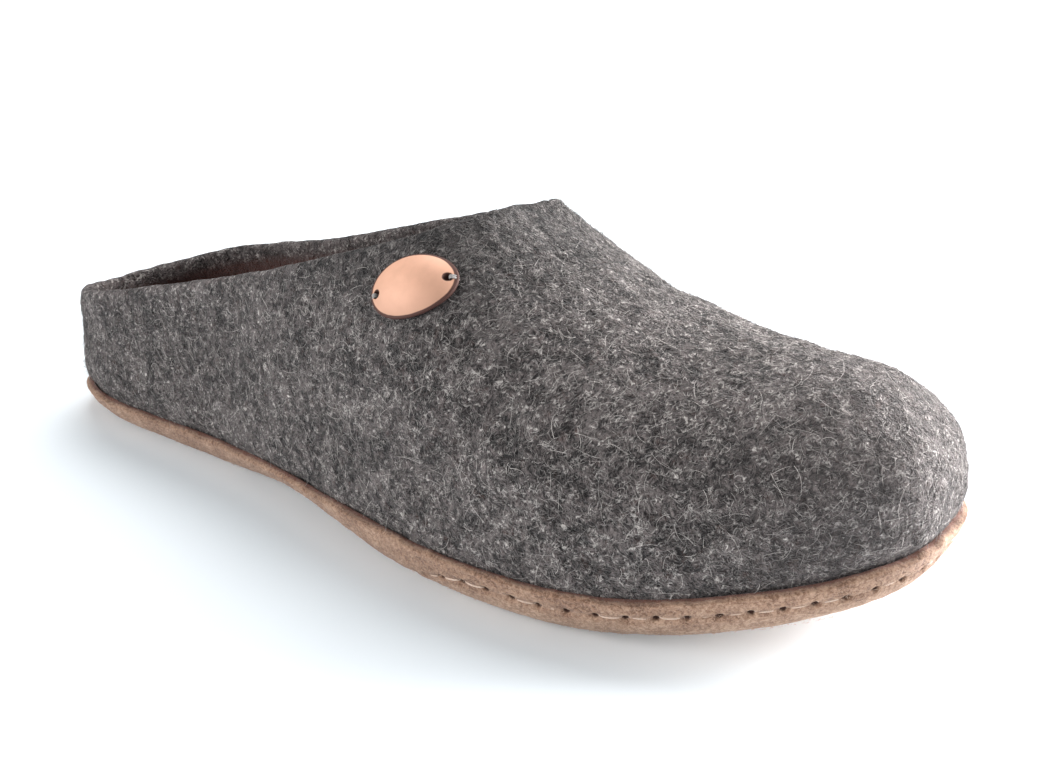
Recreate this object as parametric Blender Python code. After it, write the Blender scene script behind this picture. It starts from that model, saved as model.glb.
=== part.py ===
"""Felt slipper for the right foot, standing empty on its sole.

The toe points along +X, the inner side of the foot is +Y and +Z is up. Seen from above, one closed outline runs
round the felt where it is widest. Each of its points carries a profile that leans towards a middle line, the
spine. The upper, the leather cup of the outsole and the insole all follow these profiles at their own distances.
"""
import math

import bpy
import bmesh
import numpy as np

# Sizes of the slipper, in metres
LENGTH = 0.278            # felt, from the back of the heel to the tip of the toe
BALL_WIDTH = 0.104        # felt, across the ball of the foot
HEEL_WIDTH = 0.071        # felt, across the heel
INSTEP_HEIGHT = 0.0850    # top of the felt at the throat, over the floor
HEEL_HEIGHT = 0.0370      # collar at the back of the heel, over the floor
WIDEST_HEIGHT = 0.0187    # height at which the felt stands out furthest
COLLAR_DIP = 0.0053       # how far the collar sags below a straight line
TOE_SPRING = 0.0140       # lift of the sole at the tip of the toe
ARCH_LIFT = 0.0038        # lift of the sole under the arch
HEEL_LIFT = 0.0015        # lift of the sole at the very back
TOE_SHIFT = 0.0050        # how far the tip of the toe lies towards the inner side
FELT = 0.0045             # thickness of the felt wall
LEATHER = 0.0025          # thickness of the leather
INSOLE = 0.0060           # thickness of the insole
RIM_HEEL = 0.0090         # leather rim over the floor at the heel
RIM_BALL = 0.0122         # leather rim over the sole's underside at the ball and toe
FELT_TUCK = 0.0097        # how far the felt draws in from its widest line to the sole
HEEL_TUCK = 0.0124        # the same at the back of the heel
GAP = 0.0003              # free space between neighbouring pieces

# Badge
BADGE_LENGTH = 0.0235
BADGE_WIDTH = 0.0160
BADGE_DOME = 0.0018       # height of the dome over the badge's rim
BADGE_SHEET = 0.0010      # thickness of the badge at its rim
BADGE_TILT = math.radians(25.0)
BADGE_HOLE = 0.0018       # width of each thread hole
BADGE_HOLE_SPACING = 0.0186
BADGE_PLACE = 0.577       # middle of the badge along the slipper, as a share of its length
BADGE_LEVEL = 0.82        # middle of the badge, as a share of the instep's height

# Places along the slipper, as shares of its length
THROAT = 0.590            # front of the foot opening
HEEL_ROUND = 0.16         # length of the rounded heel
TOE_ROUND_OUTER = 0.30    # length of the rounded toe on the outer side
TOE_ROUND_INNER = 0.225   # the same on the inner side
SPINE_HEEL = 0.17         # back end of the spine
SPINE_TOE = 0.83          # front end of the spine

# Half widths seen from above: place along the length, outer side, inner side (shares of the local width)
OUTLINE = np.array((
    (0.00, 0.480, 0.480),
    (0.12, 0.455, 0.504),
    (0.25, 0.473, 0.498),
    (0.40, 0.490, 0.453),
    (0.55, 0.487, 0.439),
    (0.68, 0.522, 0.465),
    (0.80, 0.493, 0.458),
    (0.90, 0.423, 0.410),
    (1.00, 0.362, 0.320),
))
# Top line of the last: place along the length, height over the widest line (share of the throat's)
TOP_LINE = np.array((
    (0.00, 1.62),
    (0.20, 1.45),
    (0.35, 1.26),
    (0.46, 1.125),
    (0.59, 1.00),
    (0.65, 0.835),
    (0.75, 0.660),
    (0.85, 0.570),
    (0.93, 0.535),
    (1.00, 0.430),
))
SHOULDER_POWER = 2.34     # fullness of the felt over its widest line
CORNER_POWER = 2.4        # fullness of the corner under it
HEEL_POWER = 2.2          # fullness of the heel's end seen from above
TOE_POWER = 3.0           # fullness of the toe's end seen from above
COLUMNS_BACK = 22         # profiles on each side from the heel to the throat
COLUMNS_FRONT = 16        # profiles on each side from the throat to the toe
WALL_ROWS = 17            # rows of the felt wall from its bottom edge up
WALL_FOOT = -0.80         # place on the profile where the felt wall ends underneath


# Shape of the last

def along(x, table, column=1):
    """Smooth curve through one column of a table whose first column is the place."""
    places, values = table[:, 0], table[:, column]
    step = np.diff(places)
    chord = np.diff(values) / step
    slope = np.empty_like(values)
    slope[1:-1] = (chord[:-1] * step[1:] + chord[1:] * step[:-1]) / (step[1:] + step[:-1])
    slope[0], slope[-1] = chord[0], chord[-1]
    k = np.clip(np.searchsorted(places, x, side="right") - 1, 0, len(places) - 2)
    t = np.clip((x - places[k]) / step[k], 0.0, 1.0)
    return (values[k] * (1 + 2 * t) * (1 - t) ** 2 + slope[k] * step[k] * t * (1 - t) ** 2
            + values[k + 1] * t * t * (3 - 2 * t) + slope[k + 1] * step[k] * t * t * (t - 1))


def ease(start, end, x):
    t = np.clip((x - start) / (end - start), 0.0, 1.0)
    return t * t * (3 - 2 * t)


def tread_height(s):
    """Underside of the sole over the floor: level under the heel and the ball."""
    toe = TOE_SPRING * np.clip((s - 0.74) / 0.26, 0.0, 1.0) ** 1.8
    arch = ARCH_LIFT * np.sin(math.pi * np.clip((s - 0.28) / 0.30, 0.0, 1.0)) ** 2
    heel = HEEL_LIFT * np.clip((0.07 - s) / 0.07, 0.0, 1.0) ** 2
    return toe + arch + heel


def top_height(s):
    rise = INSTEP_HEIGHT - WIDEST_HEIGHT
    return WIDEST_HEIGHT + rise * along(s, TOP_LINE) + tread_height(s) * (s > THROAT)


def collar_height(s):
    t = s / THROAT
    return HEEL_HEIGHT + (INSTEP_HEIGHT - HEEL_HEIGHT) * t - COLLAR_DIP * 4 * t * np.clip(1 - t, 0.0, 1.0)


def spine_y(s):
    return TOE_SHIFT * np.clip((s - 0.55) / 0.45, 0.0, 1.0) ** 1.5


def outline_y(s, inner):
    """Sideways place of the widest line, on the inner side of the foot or the outer one."""
    width = HEEL_WIDTH + (BALL_WIDTH - HEEL_WIDTH) * ease(0.25, 0.62, s)
    half = width * np.where(inner, along(s, OUTLINE, 2), along(s, OUTLINE, 1))
    heel = np.sqrt(1 - np.clip((HEEL_ROUND - s) / HEEL_ROUND, 0.0, 1.0) ** HEEL_POWER)
    rounded = np.where(inner, TOE_ROUND_INNER, TOE_ROUND_OUTER)
    toe = (1 - np.clip((s - 1 + rounded) / rounded, 0.0, 1.0) ** TOE_POWER) ** (1 / TOE_POWER)
    return np.where(inner, 1.0, -1.0) * half * heel * toe + spine_y(s)


def fold(w):
    """Share of the way from heel to toe and the side, for a place w on the loop from 0 to 2."""
    w = np.mod(w, 2.0)
    return np.where(w <= 1.0, w, 2.0 - w), w > 1.0


def spine_place(u):
    return SPINE_HEEL + (SPINE_TOE - SPINE_HEEL) * (u - 0.65 * np.sin(2 * math.pi * u) / (2 * math.pi))


def last_point(w, t):
    """Outer face of the felt: w runs round the outline, t from -1 underneath over 0 at the widest to 1 on top."""
    w, t = np.broadcast_arrays(np.asarray(w, float), np.asarray(t, float))
    u, inner = fold(w)
    s0 = (1 - np.cos(math.pi * u)) / 2
    x0, y0 = s0 * LENGTH, outline_y(s0, inner)
    s1 = spine_place(u)
    dx, dy = s1 * LENGTH - x0, spine_y(s1) - y0
    reach = np.hypot(dx, dy)
    up = np.clip(t, 0.0, 1.0) * math.pi / 2
    down = np.clip(-t, 0.0, 1.0) * math.pi / 2
    tuck = FELT_TUCK + (HEEL_TUCK - FELT_TUCK) * (1 - ease(0.0, 0.35, s0))
    inset = np.where(t > 0, reach * (1 - np.abs(np.cos(up)) ** (2 / SHOULDER_POWER)),
                     tuck * (1 - np.abs(np.cos(down)) ** (2 / CORNER_POWER)))
    x, y = x0 + dx / reach * inset, y0 + dy / reach * inset
    s = np.clip(x / LENGTH, 0.0, 1.0)
    floor, top = tread_height(s), top_height(s)
    widest = floor + WIDEST_HEIGHT
    low = WIDEST_HEIGHT - LEATHER - GAP
    z = np.where(t > 0, widest + (top - widest) * np.sin(up) ** (2 / SHOULDER_POWER),
                 widest - low * np.sin(down) ** (2 / CORNER_POWER))
    return np.stack((x, y, z), axis=-1)


def last_normal(w, t):
    """Outward direction of the felt's outer face."""
    w, t = np.broadcast_arrays(np.asarray(w, float), np.asarray(t, float))
    side = last_point(w + 0.002, t) - last_point(w - 0.002, t)
    rise = last_point(w, np.minimum(t + 0.004, 1.0)) - last_point(w, np.maximum(t - 0.004, -1.0))
    n = np.cross(side, rise)
    return n / np.linalg.norm(n, axis=-1, keepdims=True)


def offset_point(w, t, distance):
    return last_point(w, t) + last_normal(w, t) * distance


def height_place(w, height, low=-1.0):
    """Place t on the profile's lower part where the felt's outer face reaches a height over the sole."""
    share = (WIDEST_HEIGHT - height) / (WIDEST_HEIGHT - LEATHER - GAP)
    t = -np.arcsin(np.clip(share, 0.0, 1.0) ** (CORNER_POWER / 2)) / (math.pi / 2)
    return np.maximum(t, low) + 0 * w


def spread(start, end, count, measure):
    """Places from start to end that share out a length evenly; measure gives the length's curves."""
    fine = np.linspace(start, end, 400)
    steps = sum(np.linalg.norm(np.diff(curve, axis=0), axis=1) for curve in measure(fine))
    length = np.concatenate(((0.0,), np.cumsum(steps)))
    return np.interp(np.linspace(0.0, length[-1], count + 1), length, fine)


def profile_top(w):
    """Place t where each profile ends: at the collar, or on the top line in front of the throat."""
    t = np.linspace(0.0, 1.0, 600)
    points = last_point(np.asarray(w, float)[:, None], t[None, :])
    over = points[..., 2] - collar_height(points[..., 0] / LENGTH)
    ends = np.ones(len(points))
    for i, row in enumerate(over):
        hit = np.flatnonzero(row >= 0)
        if len(hit) and hit[0] > 0:
            k = hit[0]
            ends[i] = t[k - 1] + (t[k] - t[k - 1]) * row[k - 1] / (row[k - 1] - row[k])
    return ends


def loop_places():
    """Places w of all profiles round the outline, from the heel along the outer side to the toe and back."""
    fine = np.linspace(0.0, 1.0, 2001)
    throat = float(np.interp(THROAT, spine_place(fine), fine))
    back = spread(0.0, throat, COLUMNS_BACK,
                  lambda w: (last_point(w, 0.0), 2 * last_point(w, np.where(w < throat, profile_top(w), 1.0))))
    front = spread(throat, 1.0, COLUMNS_FRONT, lambda w: (last_point(w, 0.0), last_point(w, 1.0)))
    side = np.concatenate((back, front[1:]))
    return np.concatenate((side, 2.0 - side[-2:0:-1]))


# Building blocks

def material(name, colour, roughness, metallic=0.0):
    made = bpy.data.materials.new(name)
    made.use_nodes = True
    shader = made.node_tree.nodes["Principled BSDF"]
    shader.inputs["Base Color"].default_value = (*colour, 1.0)
    shader.inputs["Roughness"].default_value = roughness
    shader.inputs["Metallic"].default_value = metallic
    made.diffuse_color = (*colour, 1.0)
    return made


def solid(name, points, faces, finish, sharp):
    """Object from points and faces, with its faces turned outwards."""
    mesh = bpy.data.meshes.new(name)
    mesh.from_pydata([tuple(p) for p in points], [], faces)
    shell = bmesh.new()
    shell.from_mesh(mesh)
    bmesh.ops.recalc_face_normals(shell, faces=shell.faces)
    shell.to_mesh(mesh)
    shell.free()
    mesh.shade_smooth()
    mesh.set_sharp_from_angle(angle=math.radians(sharp))
    mesh.materials.append(finish)
    made = bpy.data.objects.new(name, mesh)
    bpy.context.scene.collection.objects.link(made)
    return made


def zipped(count, rows, zipped_rows):
    """Point numbers of a grid whose two sides share their points on some rows."""
    number = np.arange(count * rows).reshape(count, rows)
    for k in range(count // 2 + 1, count):
        for row, first in zipped_rows:
            if first <= count - k:
                number[k, row] = number[count - k, row]
    return number


def quads(number, columns, rows):
    count = len(number)
    faces = []
    for k in columns:
        n = (k + 1) % count
        for r in rows:
            ring = []
            for point in (number[k, r], number[n, r], number[n, r + 1], number[k, r + 1]):
                if point not in ring:
                    ring.append(int(point))
            if len(ring) > 2:
                faces.append(tuple(ring))
    return faces


def used(points, faces):
    """Points and faces without the points that no face holds."""
    keep = sorted({p for face in faces for p in face})
    place = {p: i for i, p in enumerate(keep)}
    return points[keep], [tuple(place[p] for p in face) for face in faces]


def sheet(w, edge, shares, height):
    """Rows of points from the spine out to an edge, at a height over the sole's underside."""
    u, _ = fold(w)
    s = spine_place(u)
    middle = np.stack((s * LENGTH, spine_y(s)), axis=-1)
    rows = []
    for share in shares:
        flat = middle + (edge[:, :2] - middle) * share
        rows.append(np.column_stack((flat, tread_height(np.clip(flat[:, 0] / LENGTH, 0.0, 1.0)) + height)))
    return rows


# Pieces

def make_upper(w, finish):
    """Hollow felt upper, open at the collar and underneath."""
    ends = profile_top(w)
    front = (np.arange(len(w)) >= COLUMNS_BACK) & (np.arange(len(w)) <= len(w) - COLUMNS_BACK)
    ends[front] = 1.0
    places = np.stack([spread(WALL_FOOT, end, WALL_ROWS, lambda t, at=at: (last_point(at, t),))
                       for at, end in zip(w, ends)])
    outer = last_point(w[:, None], places)
    normal = last_normal(w[:, None], places)
    mirror = (-np.arange(len(w))) % len(w)
    top = normal[:, -1] + normal[mirror, -1] * front[:, None]
    normal[:, -1] = top / np.linalg.norm(top, axis=-1, keepdims=True)
    inner = outer - normal * FELT
    # Rounded cut edge of the collar
    edge = outer[:, -1]
    run = np.roll(edge, -1, axis=0) - np.roll(edge, 1, axis=0)
    run[COLUMNS_BACK] = (0.0, 1.0, 0.0)
    out = np.cross(normal[:, -1], run)
    out /= np.linalg.norm(out, axis=-1, keepdims=True)
    out *= np.where(np.sum(out * (edge - outer[:, -2]), axis=-1, keepdims=True) < 0, -1.0, 1.0)
    out[COLUMNS_BACK] *= np.where(out[COLUMNS_BACK, 0] > 0, -1.0, 1.0)
    cap = [edge - normal[:, -1] * FELT * depth + out * FELT * rise
           for depth, rise in ((0.12, 0.14), (0.50, 0.26), (0.88, 0.14))]
    grid = np.concatenate((outer[:, ::-1], inner, np.stack(cap[::-1], axis=1)), axis=1)
    rows = grid.shape[1]
    body = 2 * (WALL_ROWS + 1)
    shared = [(0, COLUMNS_BACK), (body - 1, COLUMNS_BACK)]
    number = zipped(len(w), rows, shared)
    opposite = len(w) - COLUMNS_BACK
    number[opposite, body:] = number[COLUMNS_BACK, body:]
    faces = quads(number, range(len(w)), range(body - 1))
    ring = np.concatenate((number[:, body - 1:], number[:, :1]), axis=1)
    back = list(range(COLUMNS_BACK)) + list(range(opposite, len(w)))
    faces += quads(ring, back, range(ring.shape[1] - 1))
    points, faces = used(grid.reshape(-1, 3), faces)
    return solid("upper", points, faces, finish, 50)


def make_outsole(w, finish):
    """Leather cup: tread, turned-up rim and inside floor."""
    bottom, outside = [], []
    u, _ = fold(w)
    s0 = (1 - np.cos(math.pi * u)) / 2
    rim = RIM_HEEL + (RIM_BALL - RIM_HEEL) * ease(0.15, 0.60, s0) - tread_height(s0) * (s0 < 0.70)
    top = height_place(w, rim)
    shares = np.array((0.0, 0.10, 0.25, 0.45, 0.70, 1.0))
    out = [offset_point(w, -1 + (top + 1) * k, GAP + LEATHER) for k in shares]
    inside = [offset_point(w, -1 + (top + 1) * k, GAP) for k in shares]
    tangent = last_point(w, top + 0.02) - last_point(w, top)
    tangent /= np.linalg.norm(tangent, axis=-1, keepdims=True)
    crown = [offset_point(w, top, GAP + LEATHER * depth) + tangent * LEATHER * 0.16 for depth in (0.80, 0.20)]
    tread = sheet(w, out[0], (0.0, 0.35, 0.70), 0.0)
    floor = sheet(w, inside[0], (0.0, 0.35, 0.70), LEATHER)
    rows = tread + out + crown + inside[::-1] + floor[::-1]
    grid = np.stack(rows, axis=1)
    last = grid.shape[1] - 1
    number = zipped(len(w), last + 1, [(0, 0), (last, 0)])
    faces = quads(number, range(len(w)), range(last))
    points, faces = used(grid.reshape(-1, 3), faces)
    return solid("outsole", points, faces, finish, 40)


def make_insole(w, finish):
    """Footbed on the leather floor, its edge lapping the foot of the felt wall."""
    near = last_point(w, WALL_FOOT)
    step = np.linalg.norm(near - last_point(w, WALL_FOOT - 0.02), axis=-1) / 0.02
    foot = WALL_FOOT - GAP / step
    level = LEATHER + GAP
    low = [last_point(w, -1.0), last_point(w, foot)]
    side = [offset_point(w, foot, -(FELT + GAP)), offset_point(w, foot + 0.07, -(FELT + GAP))]
    bottom = sheet(w, low[0], (0.0, 0.35, 0.70), level)
    top = sheet(w, side[1], (0.0, 0.40, 0.85), level + INSOLE)
    top[2][:, 2] += 0.0002
    rows = bottom + low + side + top[::-1]
    grid = np.stack(rows, axis=1)
    last = grid.shape[1] - 1
    number = zipped(len(w), last + 1, [(0, 0), (last, 0)])
    faces = quads(number, range(len(w)), range(last))
    points, faces = used(grid.reshape(-1, 3), faces)
    return solid("insole", points, faces, finish, 40)


def badge_frame():
    """Middle of the badge on the felt, its two directions, the outward one and the felt's bending there."""
    w, t = 0.50, 0.45
    for _ in range(40):
        here = last_point(w, t)
        by_w = (last_point(w + 1e-4, t) - here) / 1e-4
        by_t = (last_point(w, t + 1e-4) - here) / 1e-4
        step = np.linalg.solve(np.array(((by_w[0], by_t[0]), (by_w[2], by_t[2]))),
                               np.array((BADGE_PLACE * LENGTH - here[0], BADGE_LEVEL * INSTEP_HEIGHT - here[2])))
        w = float(np.clip(w + 0.7 * step[0], 0.05, 0.95))
        t = float(np.clip(t + 0.7 * step[1], 0.02, 0.90))
    centre, normal = last_point(w, t), last_normal(w, t)
    level = np.cross((0.0, 0.0, 1.0), normal)
    level /= np.linalg.norm(level)
    if level[0] < 0:
        level = -level
    steep = np.cross(normal, level)
    if steep[2] < 0:
        steep = -steep
    along_it = level * math.cos(BADGE_TILT) + steep * math.sin(BADGE_TILT)
    across = steep * math.cos(BADGE_TILT) - level * math.sin(BADGE_TILT)
    dw, dt = np.meshgrid(np.linspace(-0.045, 0.045, 9), np.linspace(-0.12, 0.12, 9))
    near = last_point(w + dw.ravel(), t + dt.ravel()) - centre
    a, b, h = near @ along_it, near @ across, near @ normal
    keep = np.hypot(a, b) < BADGE_LENGTH * 0.6
    terms = np.column_stack((a, b, a * a, a * b, b * b, a ** 3, b ** 3))[keep]
    bend = np.linalg.lstsq(terms, h[keep], rcond=None)[0]
    return centre, along_it, across, normal, bend


def make_badge(finish):
    """Domed oval plate with a thread hole near each end, its back following the felt."""
    centre, along_it, across, normal, bend = badge_frame()

    def place(a, b, lift):
        h = np.column_stack((a, b, a * a, a * b, b * b, a ** 3, b ** 3)) @ bend
        return centre + np.outer(a, along_it) + np.outer(b, across) + np.outer(h + lift, normal)

    turn = np.linspace(0.0, 2 * math.pi, 48, endpoint=False)
    half_a, half_b = BADGE_LENGTH / 2, BADGE_WIDTH / 2
    profile = [(0.35, GAP), (0.70, GAP), (0.97, GAP), (1.00, GAP + BADGE_SHEET * 0.35),
               (1.00, GAP + BADGE_SHEET * 0.75), (0.975, GAP + BADGE_SHEET)]
    profile += [(r, GAP + BADGE_SHEET + BADGE_DOME * (1 - (r / 0.975) ** 2.4)) for r in (0.85, 0.70, 0.50, 0.25)]
    rings = [place(half_a * r * np.cos(turn), half_b * r * np.sin(turn), np.full(len(turn), lift))
             for r, lift in profile]
    points = np.concatenate(rings + [place(np.zeros(1), np.zeros(1), np.array((GAP,))),
                                     place(np.zeros(1), np.zeros(1), np.array((GAP + BADGE_SHEET + BADGE_DOME,)))])
    n = len(turn)
    faces = [(k * n + i, k * n + (i + 1) % n, (k + 1) * n + (i + 1) % n, (k + 1) * n + i)
             for k in range(len(rings) - 1) for i in range(n)]
    back, top = len(points) - 2, len(points) - 1
    faces += [(back, (i + 1) % n, i) for i in range(n)]
    faces += [(top, (len(rings) - 1) * n + i, (len(rings) - 1) * n + (i + 1) % n) for i in range(n)]
    badge = solid("badge", points, faces, finish, 35)
    for k, way in enumerate((-1, 1)):
        a = np.array((way * BADGE_HOLE_SPACING / 2,))
        low = place(a, np.zeros(1), np.array((-BADGE_DOME,)))[0]
        high = place(a, np.zeros(1), np.array((2 * BADGE_DOME + BADGE_SHEET,)))[0]
        ring = [along_it * math.cos(v) + across * math.sin(v) for v in np.linspace(0, 2 * math.pi, 17)[:-1]]
        around = [p + d * BADGE_HOLE / 2 for p in (low, high) for d in ring]
        walls = [(i, (i + 1) % 16, 16 + (i + 1) % 16, 16 + i) for i in range(16)]
        caps = [tuple(range(16)), tuple(range(16, 32))]
        drill = solid(f"badge_drill_{k}", np.array(around), walls + caps, finish, 30)
        drill.hide_render = True
        drill.display_type = "WIRE"
        cut = badge.modifiers.new(f"hole_{k}", "BOOLEAN")
        cut.operation = "DIFFERENCE"
        cut.solver = "EXACT"
        cut.object = drill
    return badge


def main():
    for old in list(bpy.data.objects):
        bpy.data.objects.remove(old, do_unlink=True)
    w = loop_places()
    pieces = [
        make_outsole(w, material("suede_leather", (0.42, 0.27, 0.17), 0.85)),
        make_upper(w, material("grey_felt", (0.16, 0.16, 0.16), 0.95)),
        make_insole(w, material("dark_felt", (0.07, 0.055, 0.05), 0.95)),
        make_badge(material("copper", (0.85, 0.50, 0.36), 0.35, 1.0)),
    ]
    # The middle of the slipper comes over the origin, with the level parts of the sole on the floor
    corners = np.array([v.co for piece in pieces for v in piece.data.vertices])
    middle = (corners.min(axis=0) + corners.max(axis=0)) / 2
    for made in bpy.data.objects:
        for v in made.data.vertices:
            v.co.x -= middle[0]
            v.co.y -= middle[1]


main()
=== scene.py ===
"""Felt slipper for the right foot: the dressed model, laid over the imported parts.

The toe points along +X, the inner side of the foot is +Y and +Z is up. All sizes are in metres.
"""
import math

import bmesh
import bpy
import numpy as np
from mathutils import Matrix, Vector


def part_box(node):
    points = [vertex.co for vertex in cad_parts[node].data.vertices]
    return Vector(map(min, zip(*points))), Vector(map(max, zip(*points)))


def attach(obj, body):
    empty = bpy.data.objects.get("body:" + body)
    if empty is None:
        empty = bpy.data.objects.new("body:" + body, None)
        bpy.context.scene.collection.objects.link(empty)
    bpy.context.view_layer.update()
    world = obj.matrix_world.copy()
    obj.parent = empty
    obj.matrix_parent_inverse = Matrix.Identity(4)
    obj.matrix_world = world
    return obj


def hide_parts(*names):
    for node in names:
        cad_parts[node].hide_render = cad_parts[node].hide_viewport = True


bl_info = {
    "name": "Felt slipper",
    "version": (1, 0, 0),
    "blender": (4, 5, 0),
    "location": "3D View > Sidebar > Slipper",
    "description": "Builds a wool felt slipper with a suede cup sole, its stitches, hairs and copper plate",
    "category": "Object",
}

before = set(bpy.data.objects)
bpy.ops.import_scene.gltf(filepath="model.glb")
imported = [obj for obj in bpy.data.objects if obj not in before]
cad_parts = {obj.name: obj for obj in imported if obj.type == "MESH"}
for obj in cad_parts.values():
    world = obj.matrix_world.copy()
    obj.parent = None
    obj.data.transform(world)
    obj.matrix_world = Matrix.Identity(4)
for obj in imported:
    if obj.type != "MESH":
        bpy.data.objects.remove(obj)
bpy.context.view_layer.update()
UPPER_BOX = np.array(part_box("upper"))

# Half widths seen from above: place along the length, outer side, inner side (shares of the local width)
OUTLINE = np.array((
    (0.00, 0.480, 0.480),
    (0.12, 0.455, 0.504),
    (0.25, 0.473, 0.498),
    (0.40, 0.490, 0.453),
    (0.55, 0.487, 0.439),
    (0.68, 0.522, 0.465),
    (0.80, 0.493, 0.458),
    (0.90, 0.423, 0.410),
    (1.00, 0.362, 0.320),
))
# Top line of the last: place along the length, height over the widest line (share of the throat's)
TOP_LINE = np.array((
    (0.00, 1.62),
    (0.20, 1.45),
    (0.35, 1.26),
    (0.46, 1.125),
    (0.59, 1.00),
    (0.65, 0.835),
    (0.75, 0.660),
    (0.85, 0.570),
    (0.93, 0.535),
    (1.00, 0.430),
))
SPINE_HEEL, SPINE_TOE = 0.17, 0.83
HEEL_ROUND, TOE_ROUND_OUTER, TOE_ROUND_INNER = 0.16, 0.30, 0.225
SHOULDER_POWER, CORNER_POWER, HEEL_POWER, TOE_POWER = 2.34, 2.4, 2.2, 3.0
WALL_FOOT = -0.80
# Soft creases of the felt: side, start (place, height), end (place, height), depth, half width, where a place
# is a share of the length
CREASES = (
    ("outer", 0.640, 0.030, 0.700, 0.058, 0.0009, 0.0060),
    ("outer", 0.300, 0.018, 0.345, 0.046, 0.0007, 0.0070),
    ("outer", 0.075, 0.030, 0.160, 0.026, 0.0006, 0.0060),
    ("inner", 0.650, 0.028, 0.705, 0.060, 0.0009, 0.0060),
    ("inner", 0.330, 0.020, 0.380, 0.048, 0.0006, 0.0070),
)
# Settling of the collar: place along the length, drop on the outer side and on the inner one, in metres
COLLAR_SETTLE = np.array((
    (0.00, 0.0011, 0.0011),
    (0.08, 0.0008, -0.0017),
    (0.155, 0.0002, -0.0017),
    (0.21, -0.0001, -0.0013),
    (0.26, -0.0002, -0.0010),
    (0.35, -0.0003, -0.0011),
    (0.48, -0.0002, 0.0005),
    (0.53, 0.0002, 0.0016),
    (0.57, 0.0014, 0.0028),
    (0.60, 0.0034, 0.0034),
))
# Waves of the felt: length, height and seed
FELT_WAVES = (
    (0.030, 0.00024, 3),
    (0.011, 0.00018, 5),
    (0.0045, 0.00015, 7),
)
# Soft swells and hollows: place (share of the length), sideways, height, radius and amount, in metres
SWELLS = (
    (0.590, 0.002, 0.085, 0.012, -0.0017),
    (0.618, 0.018, 0.078, 0.017, -0.0016),
    (0.680, 0.006, 0.068, 0.016, 0.0006),
    (0.900, 0.012, 0.052, 0.018, -0.0004),
    (0.975, 0.028, 0.041, 0.015, 0.0014),
    (0.000, 0.000, 0.035, 0.012, -0.0018),
)
# Painted shade and painted light on the felt by its place, in millimetres: from and to, and the share at both
# ends.
# TOP_SHADE is painted shade that darkens the top; the toe's span is painted light that pales the toe end.
TOP_SHADE = (54.0, 84.0, 0.0, 0.58)
TOE_PAINTED_LIGHT = (88.0, 132.0)
# Layers of hairs: name, number, seed, length from and to, radius, steps, curl, lift from and to, and the
# power that shares out their tones, where a high one means dark hairs
HAIRS = (
    ("felt_nap", "nap_count", 61, (0.0012, 0.0027), 0.000042, 2, 1.6, (0.24, 1.00), 2.8),
    ("felt_fuzz", "fuzz_count", 67, (0.0020, 0.0050), 0.000050, 3, 2.2, (0.03, 0.30), 1.9),
    ("felt_curls", "curl_count", 71, (0.0035, 0.0090), 0.000062, 9, 2.3, (0.02, 0.28), 1.1),
    ("felt_strays", "stray_count", 79, (0.0045, 0.0105), 0.000060, 9, 1.3, (0.04, 0.24), 0.3),
    ("suede_nap", "suede_count", 73, (0.0005, 0.0012), 0.000050, 2, 1.4, (0.20, 0.65), 1.0),
)
# Groove of the seam and pits of its holes: width and depth in metres
GROOVE_WIDTH, GROOVE_DEPTH = 0.0009, 0.00034
PIT_WIDTH, PIT_DEPTH = 0.00088, 0.0011
# Reach of the collar's settling from its edge, and the felt that its rounded edge takes up
COLLAR_REACH, COLLAR_SHARE = 0.012, 0.36
# Suns: name, compass angle from +X, height over the floor, width, strength
SUNS = (
    ("behind", 124.0, 58.0, 30.0, 2.0),
    ("front", -126.0, 14.0, 50.0, 3.1),
)
# Camera: angles in degrees, distance in metres, focal length and the aimed point's place right of and below
# the middle in pixels of a picture PICTURE_WIDTH wide
CAMERA_AZIMUTH, CAMERA_ELEVATION, CAMERA_DISTANCE = 38.37, 19.78, 0.3553
CAMERA_FOCAL, PICTURE_WIDTH, FILM_WIDTH = 1287.5, 1046, 36.0
AIM_RIGHT, AIM_DOWN = -75.6, -26.4
AIMED_POINT = (0.140, 0.0, 0.035)


def length_setting(title, about, default):
    return bpy.props.FloatProperty(name=title, description=about, default=default, unit="LENGTH",
                                   precision=5)


def count_setting(title, about, default):
    return bpy.props.IntProperty(name=title, description=about, default=default)


def colour_setting(title, about, default):
    return bpy.props.FloatVectorProperty(name=title, description=about, default=default, subtype="COLOR",
                                         size=3, min=0.0, max=1.0)


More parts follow.
